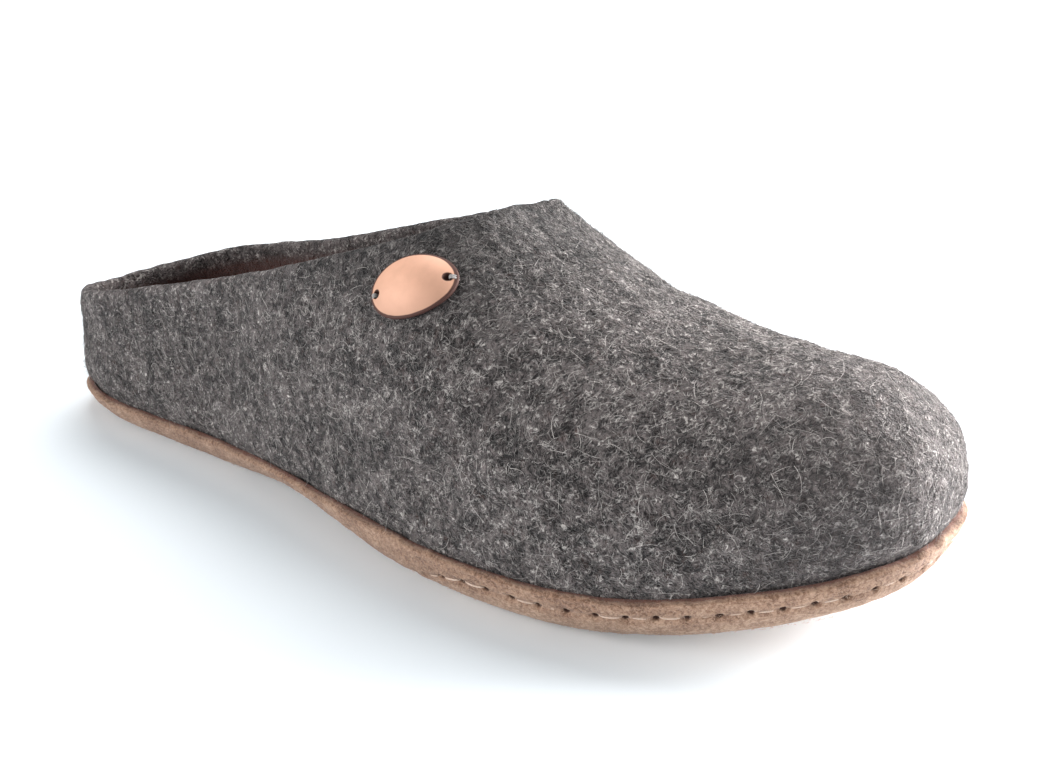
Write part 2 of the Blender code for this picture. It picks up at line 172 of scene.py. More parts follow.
class SlipperSizes(bpy.types.PropertyGroup):
    """Sizes of the slipper's last and of its pieces."""
    length: length_setting("Length", "Felt from heel to toe", 0.278)
    ball_width: length_setting("Ball width", "Felt across the ball of the foot", 0.104)
    heel_width: length_setting("Heel width", "Felt across the heel", 0.071)
    instep_height: length_setting("Instep height", "Top of the felt at the throat", 0.0850)
    heel_height: length_setting("Heel height", "Collar at the back of the heel", 0.0370)
    widest_height: length_setting("Widest height", "Height at which the felt stands out furthest", 0.0187)
    collar_dip: length_setting("Collar dip", "Sag of the collar below a straight line", 0.0053)
    toe_spring: length_setting("Toe spring", "Lift of the sole at the tip of the toe", 0.0140)
    arch_lift: length_setting("Arch lift", "Lift of the sole under the arch", 0.0038)
    heel_lift: length_setting("Heel lift", "Lift of the sole at the very back", 0.0015)
    toe_shift: length_setting("Toe shift", "Lean of the tip towards the inner side", 0.0050)
    felt: length_setting("Felt", "Thickness of the felt wall", 0.0045)
    leather: length_setting("Leather", "Thickness of the leather", 0.0025)
    insole: length_setting("Insole", "Thickness of the insole", 0.0060)
    rim_heel: length_setting("Rim at the heel", "Leather rim over the floor at the heel", 0.0090)
    rim_ball: length_setting("Rim at the ball", "Leather rim over the sole at the ball and toe", 0.0122)
    felt_tuck: length_setting("Felt tuck", "How far the felt draws in to the sole", 0.0097)
    heel_tuck: length_setting("Heel tuck", "The same at the back of the heel", 0.0124)
    gap: length_setting("Gap", "Free space between pieces", 0.0003)
    throat: bpy.props.FloatProperty(name="Throat", description="Front of the opening, share of the length",
                                    default=0.590, min=0.3, max=0.8)


class SlipperTrim(bpy.types.PropertyGroup):
    """Sizes of the plate and the seam, and the numbers of hairs."""
    badge_length: length_setting("Plate length", "Long way of the oval plate", 0.0229)
    badge_width: length_setting("Plate width", "Short way of the oval plate", 0.0160)
    badge_dome: length_setting("Plate dome", "Height of the dome over its rim", 0.0018)
    badge_sheet: length_setting("Plate thickness", "Thickness at the rim", 0.0010)
    badge_hole: length_setting("Plate hole", "Width of each thread hole", 0.0018)
    badge_spacing: length_setting("Hole spacing", "Distance between the thread holes", 0.0187)
    badge_tilt: bpy.props.FloatProperty(name="Plate tilt", description="Turn of the plate", subtype="ANGLE",
                                        default=math.radians(25.0))
    badge_place: bpy.props.FloatProperty(name="Plate place", description="Share of the length",
                                         default=0.5735)
    badge_level: bpy.props.FloatProperty(name="Plate level", description="Share of the instep height",
                                         default=0.82)
    stitch_pitch: length_setting("Stitch pitch", "Distance between the seam's holes", 0.0068)
    stitch_height: length_setting("Stitch height", "Seam over the sole's underside at the ball", 0.0089)
    stitch_thread: length_setting("Seam thread", "Thickness of the seam's thread", 0.00046)
    nap_count: count_setting("Nap hairs", "Shortest hairs of the felt, standing up", 15750)
    fuzz_count: count_setting("Fuzz hairs", "Short hairs of the felt, lying low", 10500)
    curl_count: count_setting("Curled hairs", "Long curled hairs of the felt", 3600)
    stray_count: count_setting("Stray hairs", "Long pale hairs of the felt", 760)
    suede_count: count_setting("Suede hairs", "Short hairs on the band of the sole", 3600)


class SlipperColours(bpy.types.PropertyGroup):
    """Colours of the slipper's finishes."""
    felt_dark: colour_setting("Felt, dark", "Darkest wool in the felt", (0.0120, 0.0105, 0.0105))
    felt_mid: colour_setting("Felt, middle", "Usual wool in the felt", (0.075, 0.0620, 0.0605))
    felt_light: colour_setting("Felt, light", "Light wool in the felt", (0.226, 0.193, 0.186))
    felt_warm: colour_setting("Felt, warm", "Brownish wool in the felt", (0.100, 0.052, 0.042))
    lining: colour_setting("Lining", "Felt inside the shoe", (0.081, 0.032, 0.025))
    suede: colour_setting("Suede", "Leather of the sole", (0.360, 0.212, 0.138))
    suede_dark: colour_setting("Suede, dark", "Darker nap of the sole", (0.185, 0.097, 0.062))
    suede_light: colour_setting("Suede, light", "Rubbed nap of the sole", (0.68, 0.48, 0.35))
    cut_edge: colour_setting("Cut edge", "Cut edge of the leather", (0.19, 0.070, 0.045))
    copper: colour_setting("Copper", "Metal of the plate", (0.76, 0.42, 0.285))
    patina: colour_setting("Patina", "Browned edge of the plate", (0.075, 0.028, 0.020))
    thread: colour_setting("Thread", "Thread of the seam", (0.66, 0.50, 0.40))
    hair: colour_setting("Hair", "Loose light hairs", (0.66, 0.61, 0.575))


# Shape of the last

def along(x, table, column=1):
    """Smooth curve through one column of a table: between two places the value follows a cubic whose slopes
    at both ends are the weighted slopes of the neighbouring chords."""
    places, values = table[:, 0], table[:, column]
    step = np.diff(places)
    chord = np.diff(values) / step
    slope = np.empty_like(values)
    slope[1:-1] = (chord[:-1] * step[1:] + chord[1:] * step[:-1]) / (step[1:] + step[:-1])
    slope[0], slope[-1] = chord[0], chord[-1]
    k = np.clip(np.searchsorted(places, x, side="right") - 1, 0, len(places) - 2)
    t = np.clip((x - places[k]) / step[k], 0.0, 1.0)
    return (values[k] * (1 + 2 * t) * (1 - t) ** 2 + slope[k] * step[k] * t * (1 - t) ** 2
            + values[k + 1] * t * t * (3 - 2 * t) + slope[k + 1] * step[k] * t * t * (t - 1))


def ease(start, end, x):
    """Smooth step: three times the square less twice the cube of the share between start and end."""
    t = np.clip((x - start) / (end - start), 0.0, 1.0)
    return t * t * (3 - 2 * t)


def unit(v):
    """Each vector divided by its length."""
    return v / np.maximum(np.linalg.norm(v, axis=-1, keepdims=True), 1e-12)


def dot(a, b):
    """Sum of the products of the components."""
    return (a * b).sum(axis=-1)


def summed(steps):
    """Running sum along the last axis, from zero."""
    return np.insert(np.cumsum(steps, axis=-1), 0, 0.0, axis=-1)


def way_along(*curves):
    """Length along a row of points from its first one, summed over several rows."""
    return summed(sum(np.linalg.norm(np.diff(points, axis=0), axis=1) for points in curves))


def both_sides(side):
    """Places of the outer side, then of the inner one on the way back."""
    return np.concatenate((side, 2.0 - side[-2:0:-1]))


def mirrored(w):
    """Number of the profile across the slipper from each one."""
    return -np.arange(len(w)) % len(w)


def fold(w):
    """Share of the way from heel to toe, and the side, for a place w on the loop from 0 to 2."""
    w = np.mod(w, 2.0)
    return np.where(w <= 1.0, w, 2.0 - w), w > 1.0


def outline_place(u):
    """Place along the length on the outline: half of one less the cosine."""
    return (1 - np.cos(math.pi * u)) / 2


def spine_place(u):
    """Place along the length on the spine: the share less a full sine, so it moves slower at both ends."""
    return SPINE_HEEL + (SPINE_TOE - SPINE_HEEL) * (u - 0.65 * np.sin(2 * math.pi * u) / (2 * math.pi))


class Last:
    """The slipper's inner form, from the named sizes. Points are worked out with the toe along +X and the
    back of the heel at zero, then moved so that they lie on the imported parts."""

    def __init__(self, sizes, trim):
        self.k = sizes
        self.trim = trim
        self.shift = np.zeros(3)
        wall = self.point(np.linspace(0.0, 2.0, 1441), 0.0)
        own = (wall.min(axis=0) + wall.max(axis=0)) / 2
        packed = UPPER_BOX.mean(axis=0)
        self.shift = np.array((packed[0] - own[0], packed[1] - own[1], 0.0))

    def tread(self, s):
        """Underside over the floor: a power curve up to the toe, a squared sine at the arch, a squared lift
        at the heel."""
        k = self.k
        toe = k.toe_spring * np.clip((s - 0.74) / 0.26, 0.0, 1.0) ** 1.8
        arch = k.arch_lift * np.sin(math.pi * np.clip((s - 0.28) / 0.30, 0.0, 1.0)) ** 2
        heel = k.heel_lift * np.clip((0.07 - s) / 0.07, 0.0, 1.0) ** 2
        return toe + arch + heel

    def top(self, s):
        """Top line over the floor: the table's share of the rise over the widest line, and past the throat
        the underside's lift as well."""
        k = self.k
        rise = k.instep_height - k.widest_height
        return k.widest_height + rise * along(s, TOP_LINE) + self.tread(s) * (s > k.throat)

    def collar(self, s):
        """Collar height: a straight line from heel to throat less a parabola."""
        k = self.k
        t = s / k.throat
        return (k.heel_height + (k.instep_height - k.heel_height) * t
                - k.collar_dip * 4 * t * np.clip(1 - t, 0.0, 1.0))

    def spine_y(self, s):
        """Lean of the spine to the inner side: a power curve over the front part of the length."""
        return self.k.toe_shift * np.clip((s - 0.55) / 0.45, 0.0, 1.0) ** 1.5

    def outline_y(self, s, inner):
        """Half width by the table, times a rounded heel and a rounded toe (one less a power, rooted)."""
        k = self.k
        width = k.heel_width + (k.ball_width - k.heel_width) * ease(0.25, 0.62, s)
        half = width * np.where(inner, along(s, OUTLINE, 2), along(s, OUTLINE, 1))
        heel = np.sqrt(1 - np.clip((HEEL_ROUND - s) / HEEL_ROUND, 0.0, 1.0) ** HEEL_POWER)
        rounded = np.where(inner, TOE_ROUND_INNER, TOE_ROUND_OUTER)
        toe = (1 - np.clip((s - 1 + rounded) / rounded, 0.0, 1.0) ** TOE_POWER) ** (1 / TOE_POWER)
        return np.where(inner, 1.0, -1.0) * half * heel * toe + self.spine_y(s)

    def point(self, w, t):
        """Outer face of the felt. w runs round the outline. t from 0 to 1 climbs a power-curved shoulder to
        the top line, t from 0 to -1 follows a power-curved corner under the felt."""
        k = self.k
        w, t = np.broadcast_arrays(np.asarray(w, float), np.asarray(t, float))
        u, inner = fold(w)
        s0 = outline_place(u)
        x0, y0 = s0 * k.length, self.outline_y(s0, inner)
        s1 = spine_place(u)
        dx, dy = s1 * k.length - x0, self.spine_y(s1) - y0
        reach = np.hypot(dx, dy)
        up = np.clip(t, 0.0, 1.0) * math.pi / 2
        down = np.clip(-t, 0.0, 1.0) * math.pi / 2
        tuck = k.felt_tuck + (k.heel_tuck - k.felt_tuck) * (1 - ease(0.0, 0.35, s0))
        inset = np.where(t > 0, reach * (1 - np.abs(np.cos(up)) ** (2 / SHOULDER_POWER)),
                         tuck * (1 - np.abs(np.cos(down)) ** (2 / CORNER_POWER)))
        x, y = x0 + dx / reach * inset, y0 + dy / reach * inset
        s = np.clip(x / k.length, 0.0, 1.0)
        widest = self.tread(s) + k.widest_height
        low = k.widest_height - k.leather - k.gap
        z = np.where(t > 0, widest + (self.top(s) - widest) * np.sin(up) ** (2 / SHOULDER_POWER),
                     widest - low * np.sin(down) ** (2 / CORNER_POWER))
        return np.stack((x, y, z), axis=-1) + self.shift

    def normal(self, w, t):
        """Outward direction: the cross product of a short step along the outline and one up the profile."""
        w, t = np.broadcast_arrays(np.asarray(w, float), np.asarray(t, float))
        side = self.point(w + 0.002, t) - self.point(w - 0.002, t)
        rise = self.point(w, np.minimum(t + 0.004, 1.0)) - self.point(w, np.maximum(t - 0.004, -1.0))
        return unit(np.cross(side, rise))

    def offset(self, w, t, distance):
        """Point of the outer face, moved by a distance along its normal."""
        return self.point(w, t) + self.normal(w, t) * distance

    def height_place(self, w, height):
        """Place t on the lower profile where the felt reaches a height over the sole's underside: the
        corner's power curve, solved for its angle."""
        k = self.k
        share = (k.widest_height - height) / (k.widest_height - k.leather - k.gap)
        return -np.arcsin(np.clip(share, 0.0, 1.0) ** (CORNER_POWER / 2)) / (math.pi / 2) + 0 * w

    def rim_place(self, w):
        """Place t of the leather's rim, whose height climbs by a smooth step from the heel to the ball."""
        k = self.k
        s = outline_place(fold(w)[0])
        rim = k.rim_heel + (k.rim_ball - k.rim_heel) * ease(0.15, 0.60, s) - self.tread(s) * (s < 0.70)
        return self.height_place(w, rim)

    def profile_top(self, w):
        """Place t where each profile meets the collar line, or 1 where it runs on to the top line."""
        w = np.atleast_1d(np.asarray(w, float))
        t = np.linspace(0.0, 1.0, 500)
        points = self.point(w[:, None], t[None, :]) - self.shift
        over = points[..., 2] - self.collar(points[..., 0] / self.k.length)
        hit = np.clip(np.argmax(over >= 0, axis=1), 1, len(t) - 1)
        i = np.arange(len(w))
        a, b = over[i, hit - 1], over[i, hit]
        place = t[hit - 1] + (t[hit] - t[hit - 1]) * np.clip(a / np.where(a - b == 0, 1, a - b), 0.0, 1.0)
        return np.where((over >= 0).any(axis=1), place, 1.0)

    def throat_place(self):
        """Share u of the profile whose spine place is the throat."""
        fine = np.linspace(0.0, 1.0, 2001)
        return float(np.interp(self.k.throat, spine_place(fine), fine))

    def loop(self, back, front):
        """Places w of the profiles, spread evenly over the outline and the collar or top line."""
        throat = self.throat_place()

        def share_out(start, end, count, curves):
            fine = np.linspace(start, end, 600)
            length = way_along(*curves(fine))
            return np.interp(np.linspace(0.0, length[-1], count + 1), length, fine)

        rear = share_out(0.0, throat, back, lambda w: (
            self.point(w, 0.0), 2 * self.point(w, np.where(w < throat, self.profile_top(w), 1.0))))
        fore = share_out(throat, 1.0, front, lambda w: (self.point(w, 0.0), self.point(w, 1.0)))
        return both_sides(np.concatenate((rear, fore[1:])))

    def sheet(self, w, edge, shares, height):
        """Rows at shares of the straight way from the spine to an edge, at a height over the underside."""
        k = self.k
        s = spine_place(fold(w)[0])
        middle = np.stack((s * k.length, self.spine_y(s)), axis=-1) + self.shift[:2]
        flat = middle[:, None] + (edge[:, :2] - middle)[:, None] * shares[:, None]
        place = np.clip((flat[..., 0] - self.shift[0]) / k.length, 0.0, 1.0)
        return np.concatenate((flat, (self.tread(place) + height)[..., None]), axis=-1)

    def badge_spot(self):
        """Middle of the plate on the felt, its long, short and outward directions and the felt's bending
        there, a polynomial of third degree in the two directions."""
        k, b = self.k, self.trim
        goal = np.array((b.badge_place * k.length + self.shift[0], b.badge_level * k.instep_height))
        w, t = 0.50, 0.45
        for _ in range(40):
            here = self.point(w, t)
            by_w = (self.point(w + 1e-4, t) - here) / 1e-4
            by_t = (self.point(w, t + 1e-4) - here) / 1e-4
            slopes = np.array(((by_w[0], by_t[0]), (by_w[2], by_t[2])))
            step = np.linalg.solve(slopes, goal - here[[0, 2]])
            w = float(np.clip(w + 0.7 * step[0], 0.05, 0.95))
            t = float(np.clip(t + 0.7 * step[1], 0.02, 0.90))
        centre, normal = self.point(w, t), self.normal(w, t)
        level = unit(np.cross((0.0, 0.0, 1.0), normal))
        level = level * np.sign(level[0])
        steep = np.cross(normal, level)
        steep = steep * np.sign(steep[2])
        long_way = level * math.cos(b.badge_tilt) + steep * math.sin(b.badge_tilt)
        short_way = steep * math.cos(b.badge_tilt) - level * math.sin(b.badge_tilt)
        dw, dt = np.meshgrid(np.linspace(-0.045, 0.045, 9), np.linspace(-0.12, 0.12, 9))
        near = self.point(w + dw.ravel(), t + dt.ravel()) - centre
        a, c, h = near @ long_way, near @ short_way, near @ normal
        keep = np.hypot(a, c) < b.badge_length * 0.6
        bend = np.linalg.lstsq(cubic_terms(a, c)[keep], h[keep], rcond=None)[0]
        return centre, long_way, short_way, normal, bend


def cubic_terms(a, b):
    """Both values, their squares and product, and their cubes."""
    return np.stack((a, b, a * a, a * b, b * b, a ** 3, b ** 3), axis=-1)


def the_last(context):
    return Last(context.scene.slipper_sizes, context.scene.slipper_trim)


def waves(points, length, height, seed):
    """Soft unevenness: a sum of sixteen sines in seeded directions, with wave lengths near the given one."""
    draw = np.random.default_rng(seed)
    ways = unit(draw.normal(size=(16, 3))) * (2 * math.pi / (length * draw.uniform(0.6, 1.6, (16, 1))))
    phase = draw.uniform(0, 2 * math.pi, 16)
    return height * np.sin(points @ ways.T + phase).sum(axis=-1) / 4.0


def felt_relief(last, w, t):
    """Height of the felt's relief over the plain form: waves of three lengths, soft creases and swells, a low
    bulge over the rim, none of it under the plate."""
    flat = last.point(w, t)
    relief = sum(waves(flat, *wave) for wave in FELT_WAVES)
    here = np.stack((flat[..., 0] - last.shift[0], flat[..., 2]), axis=-1)
    _, inner = fold(np.broadcast_to(w, relief.shape))
    for side, s0, h0, s1, h1, depth, wide in CREASES:
        a = np.array((s0 * last.k.length, h0))
        b = np.array((s1 * last.k.length, h1))
        share = np.clip(((here - a) @ (b - a)) / ((b - a) @ (b - a)), 0.0, 1.0)
        far = np.linalg.norm(here - (a + share[..., None] * (b - a)), axis=-1)
        trough = -np.exp(-(far / wide) ** 2) + 0.45 * np.exp(-((far - 2.0 * wide) / wide) ** 2)
        relief = relief + depth * trough * (inner if side == "inner" else ~inner)
    for s0, side, level, radius, amount in SWELLS:
        spot = np.array((s0 * last.k.length, side, level)) + last.shift
        relief = relief + amount * np.exp(-(np.linalg.norm(flat - spot, axis=-1) / radius) ** 2)
    over = flat[..., 2] - last.point(w, last.rim_place(w))[..., 2]
    relief = relief + 0.0006 * ease(0.0002, 0.0024, over) * (1 - ease(0.003, 0.016, over))
    near = np.linalg.norm(flat - last.badge_spot()[0], axis=-1)
    relief = relief * ease(0.009, 0.020, near) - 0.0002 * (1 - ease(0.009, 0.016, near))
    return relief * ease(-0.75, -0.35, np.broadcast_to(t, relief.shape))


# Building blocks

def add_object(name, data):
    made = bpy.data.objects.new(name, data)
    bpy.context.scene.collection.objects.link(made)
    return made


def new_mesh(name, points, corners, sizes):
    """Mesh from its points, the point numbers of all faces in one row, and each face's number of corners."""
    mesh = bpy.data.meshes.new(name)
    mesh.vertices.add(len(points))
    mesh.vertices.foreach_set("co", np.ascontiguousarray(points, dtype=np.float32).ravel())
    mesh.loops.add(len(corners))
    mesh.loops.foreach_set("vertex_index", corners.astype(np.int32))
    mesh.polygons.add(len(sizes))
    mesh.polygons.foreach_set("loop_start", (np.cumsum(sizes) - sizes).astype(np.int32))
    mesh.update(calc_edges=True)
    return mesh


def new_piece(name, mesh, material, attributes):
    """Object of a mesh, smooth, with its material and its values by point."""
    for key, values in attributes.items():
        layer = mesh.attributes.new(key, "FLOAT", "POINT")
        layer.data.foreach_set("value", np.ascontiguousarray(values, dtype=np.float32))
    mesh.polygons.foreach_set("use_smooth", np.ones(len(mesh.polygons), dtype=bool))
    mesh.materials.append(material)
    made = add_object(name, mesh)
    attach(made, "root")
    return made


def shell(name, grid, faces, material, **attributes):
    """Piece from a grid of points and four-cornered faces, with its faces turned outwards."""
    keep, flat = np.unique(faces, return_inverse=True)
    faces = flat.reshape(faces.shape)
    corners = faces != np.roll(faces, 1, axis=1)
    mesh = new_mesh(name, grid.reshape(-1, 3)[keep], faces[corners], corners.sum(axis=1))
    mesh.validate()
    work = bmesh.new()
    work.from_mesh(mesh)
    bmesh.ops.recalc_face_normals(work, faces=work.faces)
    work.to_mesh(mesh)
    work.free()
    by_point = {key: values.ravel()[keep] for key, values in attributes.items()}
    return new_piece(name, mesh, material, by_point)


def zipped(count, rows, joined, first=0):
    """Point numbers of a loop grid whose sides share their points on the joined rows, from a profile on."""
    number = np.arange(count * rows).reshape(count, rows)
    k = np.arange(count // 2 + 1, count)
    pick = k[(count - k) >= first]
    for row in joined:
        number[pick, row] = number[count - pick, row]
    return number


def arched(first, second, out, height, count):
    """Rows from one edge to another over a low arch: half a cosine across and a sine outwards."""
    turn = np.linspace(0, math.pi, count + 2)[1:-1]
    across = (1 - np.cos(turn))[:, None] / 2
    return (first[:, None] + (second - first)[:, None] * across
            + out[:, None] * (height[:, None] * np.sin(turn))[..., None])


def four_corners(number, columns=slice(None)):
    """Faces between neighbouring profiles and rows of a loop grid."""
    a, b = number[columns], np.roll(number, -1, axis=0)[columns]
    return np.stack((a[:, :-1], b[:, :-1], b[:, 1:], a[:, 1:]), axis=-1).reshape(-1, 4)


def tubes(name, paths, radii, refs, sides, material, **attributes):
    """Many thin tubes as one mesh: round each path of points, rings of the given radii, closed by a flat face
    at the start and drawn to a point at the end."""
    count, steps = paths.shape[:2]
    run = unit(np.gradient(paths, axis=1))
    across = unit(np.cross(run, refs[:, None, :]))
    up = np.cross(run, across)
    turn = np.linspace(0, 2 * math.pi, sides, endpoint=False)
    ring = (across[:, :, None] * np.cos(turn)[None, None, :, None]
            + up[:, :, None] * np.sin(turn)[None, None, :, None]) * radii[:, :, None, None]
    rings = (paths[:, :-1, None] + ring[:, :-1]).reshape(count, -1, 3)
    points = np.concatenate((rings, paths[:, -1:]), axis=1)
    each = points.shape[1]
    first = np.arange(count)[:, None, None] * each
    number = first + np.arange((steps - 1) * sides).reshape(1, steps - 1, sides)
    around = np.roll(number, -1, axis=2)
    walls = np.stack((number[:, :-1], around[:, :-1], around[:, 1:], number[:, 1:]), axis=-1)
    tips = np.stack((number[:, -1], around[:, -1], first[:, 0] + each - 1 + 0 * number[:, -1]), axis=-1)
    parts = (walls.reshape(-1, 4), tips.reshape(-1, 3), number[:, 0, ::-1])
    corners = np.concatenate([part.ravel() for part in parts])
    sizes = np.concatenate([np.full(len(part), part.shape[1]) for part in parts])
    mesh = new_mesh(name, points.reshape(-1, 3), corners, sizes)
    by_point = {key: np.repeat(values, each) for key, values in attributes.items()}
    return new_piece(name, mesh, material, by_point)


# Finishes

def add_node(tree, kind, inputs, **settings):
    """Outputs of a new shader node. Each input is a number, a colour or another node's socket."""
    made = tree.nodes.new(kind)
    for key, value in settings.items():
        setattr(made, key, value)
    for key, value in inputs.items():
        socket = made.inputs[key]
        if isinstance(value, bpy.types.NodeSocket):
            tree.links.new(value, socket)
        elif socket.type == "RGBA":
            socket.default_value = (*value[:3], 1.0)
        else:
            socket.default_value = value
    return made.outputs


def maths(tree, operation, *values):
    return add_node(tree, "ShaderNodeMath", dict(enumerate(values)), operation=operation)[0]


def times(tree, a, b):
    return maths(tree, "MULTIPLY", a, b)


def total(tree, *terms):
    """Weighted sum, from pairs of value and weight."""
    whole = times(tree, *terms[0])
    for value, weight in terms[1:]:
        whole = maths(tree, "ADD", whole, times(tree, value, weight))
    return whole


def remap(tree, value, low, high, to_low=0.0, to_high=1.0):
    spans = {"Value": value, "From Min": low, "From Max": high, "To Min": to_low, "To Max": to_high}
    return add_node(tree, "ShaderNodeMapRange", spans, interpolation_type="SMOOTHSTEP")["Result"]


def layered(tree, colour, *coats):
    """A colour with others laid over it in turn, from pairs of share and colour."""
    for share, coat in coats:
        colour = add_node(tree, "ShaderNodeMix", {0: share, 6: colour, 7: coat}, data_type="RGBA")[2]
    return colour


def noise(tree, vector, scale, detail=2.0, roughness=0.5):
    settings = {"Vector": vector, "Scale": scale, "Detail": detail, "Roughness": roughness}
    return add_node(tree, "ShaderNodeTexNoise", settings)["Fac"]


def placed(tree, vector, move, turn=(0, 0, 0), scale=(1, 1, 1)):
    settings = {"Vector": vector, "Location": move, "Rotation": turn, "Scale": scale}
    return add_node(tree, "ShaderNodeMapping", settings)["Vector"]


def bump(tree, height, distance, strength, **under):
    return add_node(tree, "ShaderNodeBump", {"Height": height, "Distance": distance, "Strength": strength,
                                             **under})["Normal"]


def attribute(tree, name):
    return add_node(tree, "ShaderNodeAttribute", {}, attribute_name=name)["Fac"]


def place_in_mm(tree):
    spot = add_node(tree, "ShaderNodeTexCoord", {})["Object"]
    return add_node(tree, "ShaderNodeVectorMath", {0: spot, "Scale": 1000.0}, operation="SCALE")[0]


def along_axis(tree, axis, *span):
    """Share that follows the place in millimetres along X, Y or Z."""
    return remap(tree, add_node(tree, "ShaderNodeSeparateXYZ", {"Vector": place_in_mm(tree)})[axis], *span)


def toned(colour, factor):
    return tuple(min(1.0, factor * c) for c in colour)


def fibre_group():
    """Wool fibres: thin curling lines where stretched noise crosses its middle, broken up by a second noise,
    in several directions, over mottled wool. The place comes in millimetres."""
    if "wool_fibres" in bpy.data.node_groups:
        return bpy.data.node_groups["wool_fibres"]
    tree = bpy.data.node_groups.new("wool_fibres", "ShaderNodeTree")
    tree.interface.new_socket("Place", in_out="INPUT", socket_type="NodeSocketVector")
    here = tree.nodes.new("NodeGroupInput").outputs["Place"]
    warp = add_node(tree, "ShaderNodeTexNoise", {"Vector": here, "Scale": 0.45, "Detail": 1.0})["Color"]
    centred = add_node(tree, "ShaderNodeVectorMath", {0: warp, 1: (0.5, 0.5, 0.5)}, operation="SUBTRACT")[0]
    pushed = add_node(tree, "ShaderNodeVectorMath", {0: centred, 1: (2.4, 2.4, 2.4), 2: here},
                      operation="MULTIPLY_ADD")[0]

    def lines(*kinds):
        """The strongest of several sets of lines: number, turn, size, thinness and the range that breaks
        them up."""
        top = None
        for number, turn, size, thin, low, high in kinds:
            way = placed(tree, pushed, (17.3 * number, 5.1 * number, 9.7 * number), turn,
                         (size, size * 0.24, size))
            off = maths(tree, "ABSOLUTE", maths(tree, "SUBTRACT", noise(tree, way, 1.0, 1.0), 0.5))
            broken = noise(tree, placed(tree, here, (31.0 * number, 3.0, 7.0 * number)), 0.55, 1.0)
            line = times(tree, remap(tree, off, 0.0, thin, 1.0, 0.0), remap(tree, broken, low, high))
            top = line if top is None else maths(tree, "MAXIMUM", top, line)
        return top

    soft = lines((1, (0.3, 0.9, 0.2), 0.80, 0.080, 0.38, 0.55),
                 (2, (1.1, 0.2, 1.2), 0.98, 0.085, 0.38, 0.55),
                 (3, (0.5, 1.9, 2.2), 1.20, 0.090, 0.40, 0.57))
    bright = lines((4, (2.1, 0.7, 0.9), 0.82, 0.050, 0.50, 0.62),
                   (5, (1.3, 2.6, 0.4), 1.05, 0.060, 0.50, 0.62))
    dark = lines((6, (1.6, 1.4, 2.9), 0.90, 0.105, 0.40, 0.56),
                 (7, (2.8, 2.3, 0.5), 1.15, 0.110, 0.40, 0.56))
    patches = remap(tree, noise(tree, here, 0.085, 4.0, 0.72), 0.38, 0.62)
    clumps = remap(tree, noise(tree, pushed, 0.27, 3.0, 0.70), 0.37, 0.63)
    grain = remap(tree, noise(tree, pushed, 0.95, 3.0, 0.80), 0.32, 0.68)
    warm = remap(tree, noise(tree, placed(tree, here, (50, 20, 10)), 0.33, 3.0, 0.6), 0.56, 0.72)
    relief = maths(tree, "SUBTRACT", maths(tree, "MAXIMUM", soft, bright), dark)
    given = {"Tone": total(tree, (patches, 0.28), (clumps, 0.43), (grain, 0.40)),
             "Soft": soft, "Bright": bright, "Dark": dark, "Warm": warm,
             "Height": total(tree, (grain, 0.4), (relief, 0.5), (clumps, 0.7))}
    for title in given:
        tree.interface.new_socket(title, in_out="OUTPUT", socket_type="NodeSocketFloat")
    add_node(tree, "NodeGroupOutput", given)
    return tree


def fibres(tree):
    return add_node(tree, "ShaderNodeGroup", {"Place": place_in_mm(tree)}, node_tree=fibre_group())


def finish(name, paint, roughness, metallic=0.0, **constants):
    """Material by name: constants lie on the shader's own sockets, and what paint gives is linked to them."""
    if name in bpy.data.materials:
        return bpy.data.materials[name]
    made = bpy.data.materials.new(name)
    made.use_nodes = True
    tree = made.node_tree
    shader = tree.nodes["Principled BSDF"]
    for key, value in (("Roughness", roughness), ("Metallic", metallic), *constants.items()):
        shader.inputs[key.replace("_", " ")].default_value = value
    for key, value in paint(tree).items():
        tree.links.new(value, shader.inputs[key])
    return made


def felt_finish(colours):
    """Mottled wool felt, with painted shade darkening the top and painted light paling the toe end. The
    attribute
    'inside' turns it to the brown lining away from the collar."""
    def paint(tree):
        get = fibres(tree)
        tone, dark, light = get["Tone"], colours.felt_dark, colours.felt_light
        painted_toe_light = tuple((m + p) / 2 for m, p in zip(colours.felt_mid, light))
        wool = layered(
            tree, dark,
            (remap(tree, tone, 0.20, 0.72), colours.felt_mid),
            (remap(tree, tone, 0.56, 1.00, 0.0, 0.80), light),
            (times(tree, get["Warm"], 0.50), colours.felt_warm),
            (times(tree, get["Dark"], 0.64), dark),
            (times(tree, get["Soft"], remap(tree, tone, 0.20, 0.90, 0.30, 0.90)), light),
            (times(tree, get["Bright"], remap(tree, tone, 0.20, 0.90, 0.35, 1.0)), colours.hair),
            # painted shade: the wool darkens towards the top
            (along_axis(tree, "Z", *TOP_SHADE), dark),
            # painted light: the toe end is paled towards the front
            (along_axis(tree, "X", *TOE_PAINTED_LIGHT, 0.0, 0.26), painted_toe_light))
        lining = layered(tree, wool, (0.95, colours.lining))
        return {"Base Color": layered(tree, wool, (attribute(tree, "inside"), lining)),
                "Normal": bump(tree, get["Height"], 0.0008, 0.9)}
    return finish("grey_felt_look", paint, 0.92, Sheen_Weight=0.14, Sheen_Roughness=0.5,
                  Specular_IOR_Level=0.1)


def lining_finish(colours):
    """Dark brown felt of the footbed."""
    def paint(tree):
        get = fibres(tree)
        wool = layered(tree, toned(colours.lining, 0.55), (get["Tone"], toned(colours.lining, 1.4)),
                       (times(tree, get["Soft"], 0.5), toned(colours.lining, 3.0)))
        return {"Base Color": wool, "Normal": bump(tree, get["Height"], 0.0004, 0.7)}
    return finish("lining_felt", paint, 0.95, Sheen_Weight=0.15, Sheen_Roughness=0.6, Specular_IOR_Level=0.1)


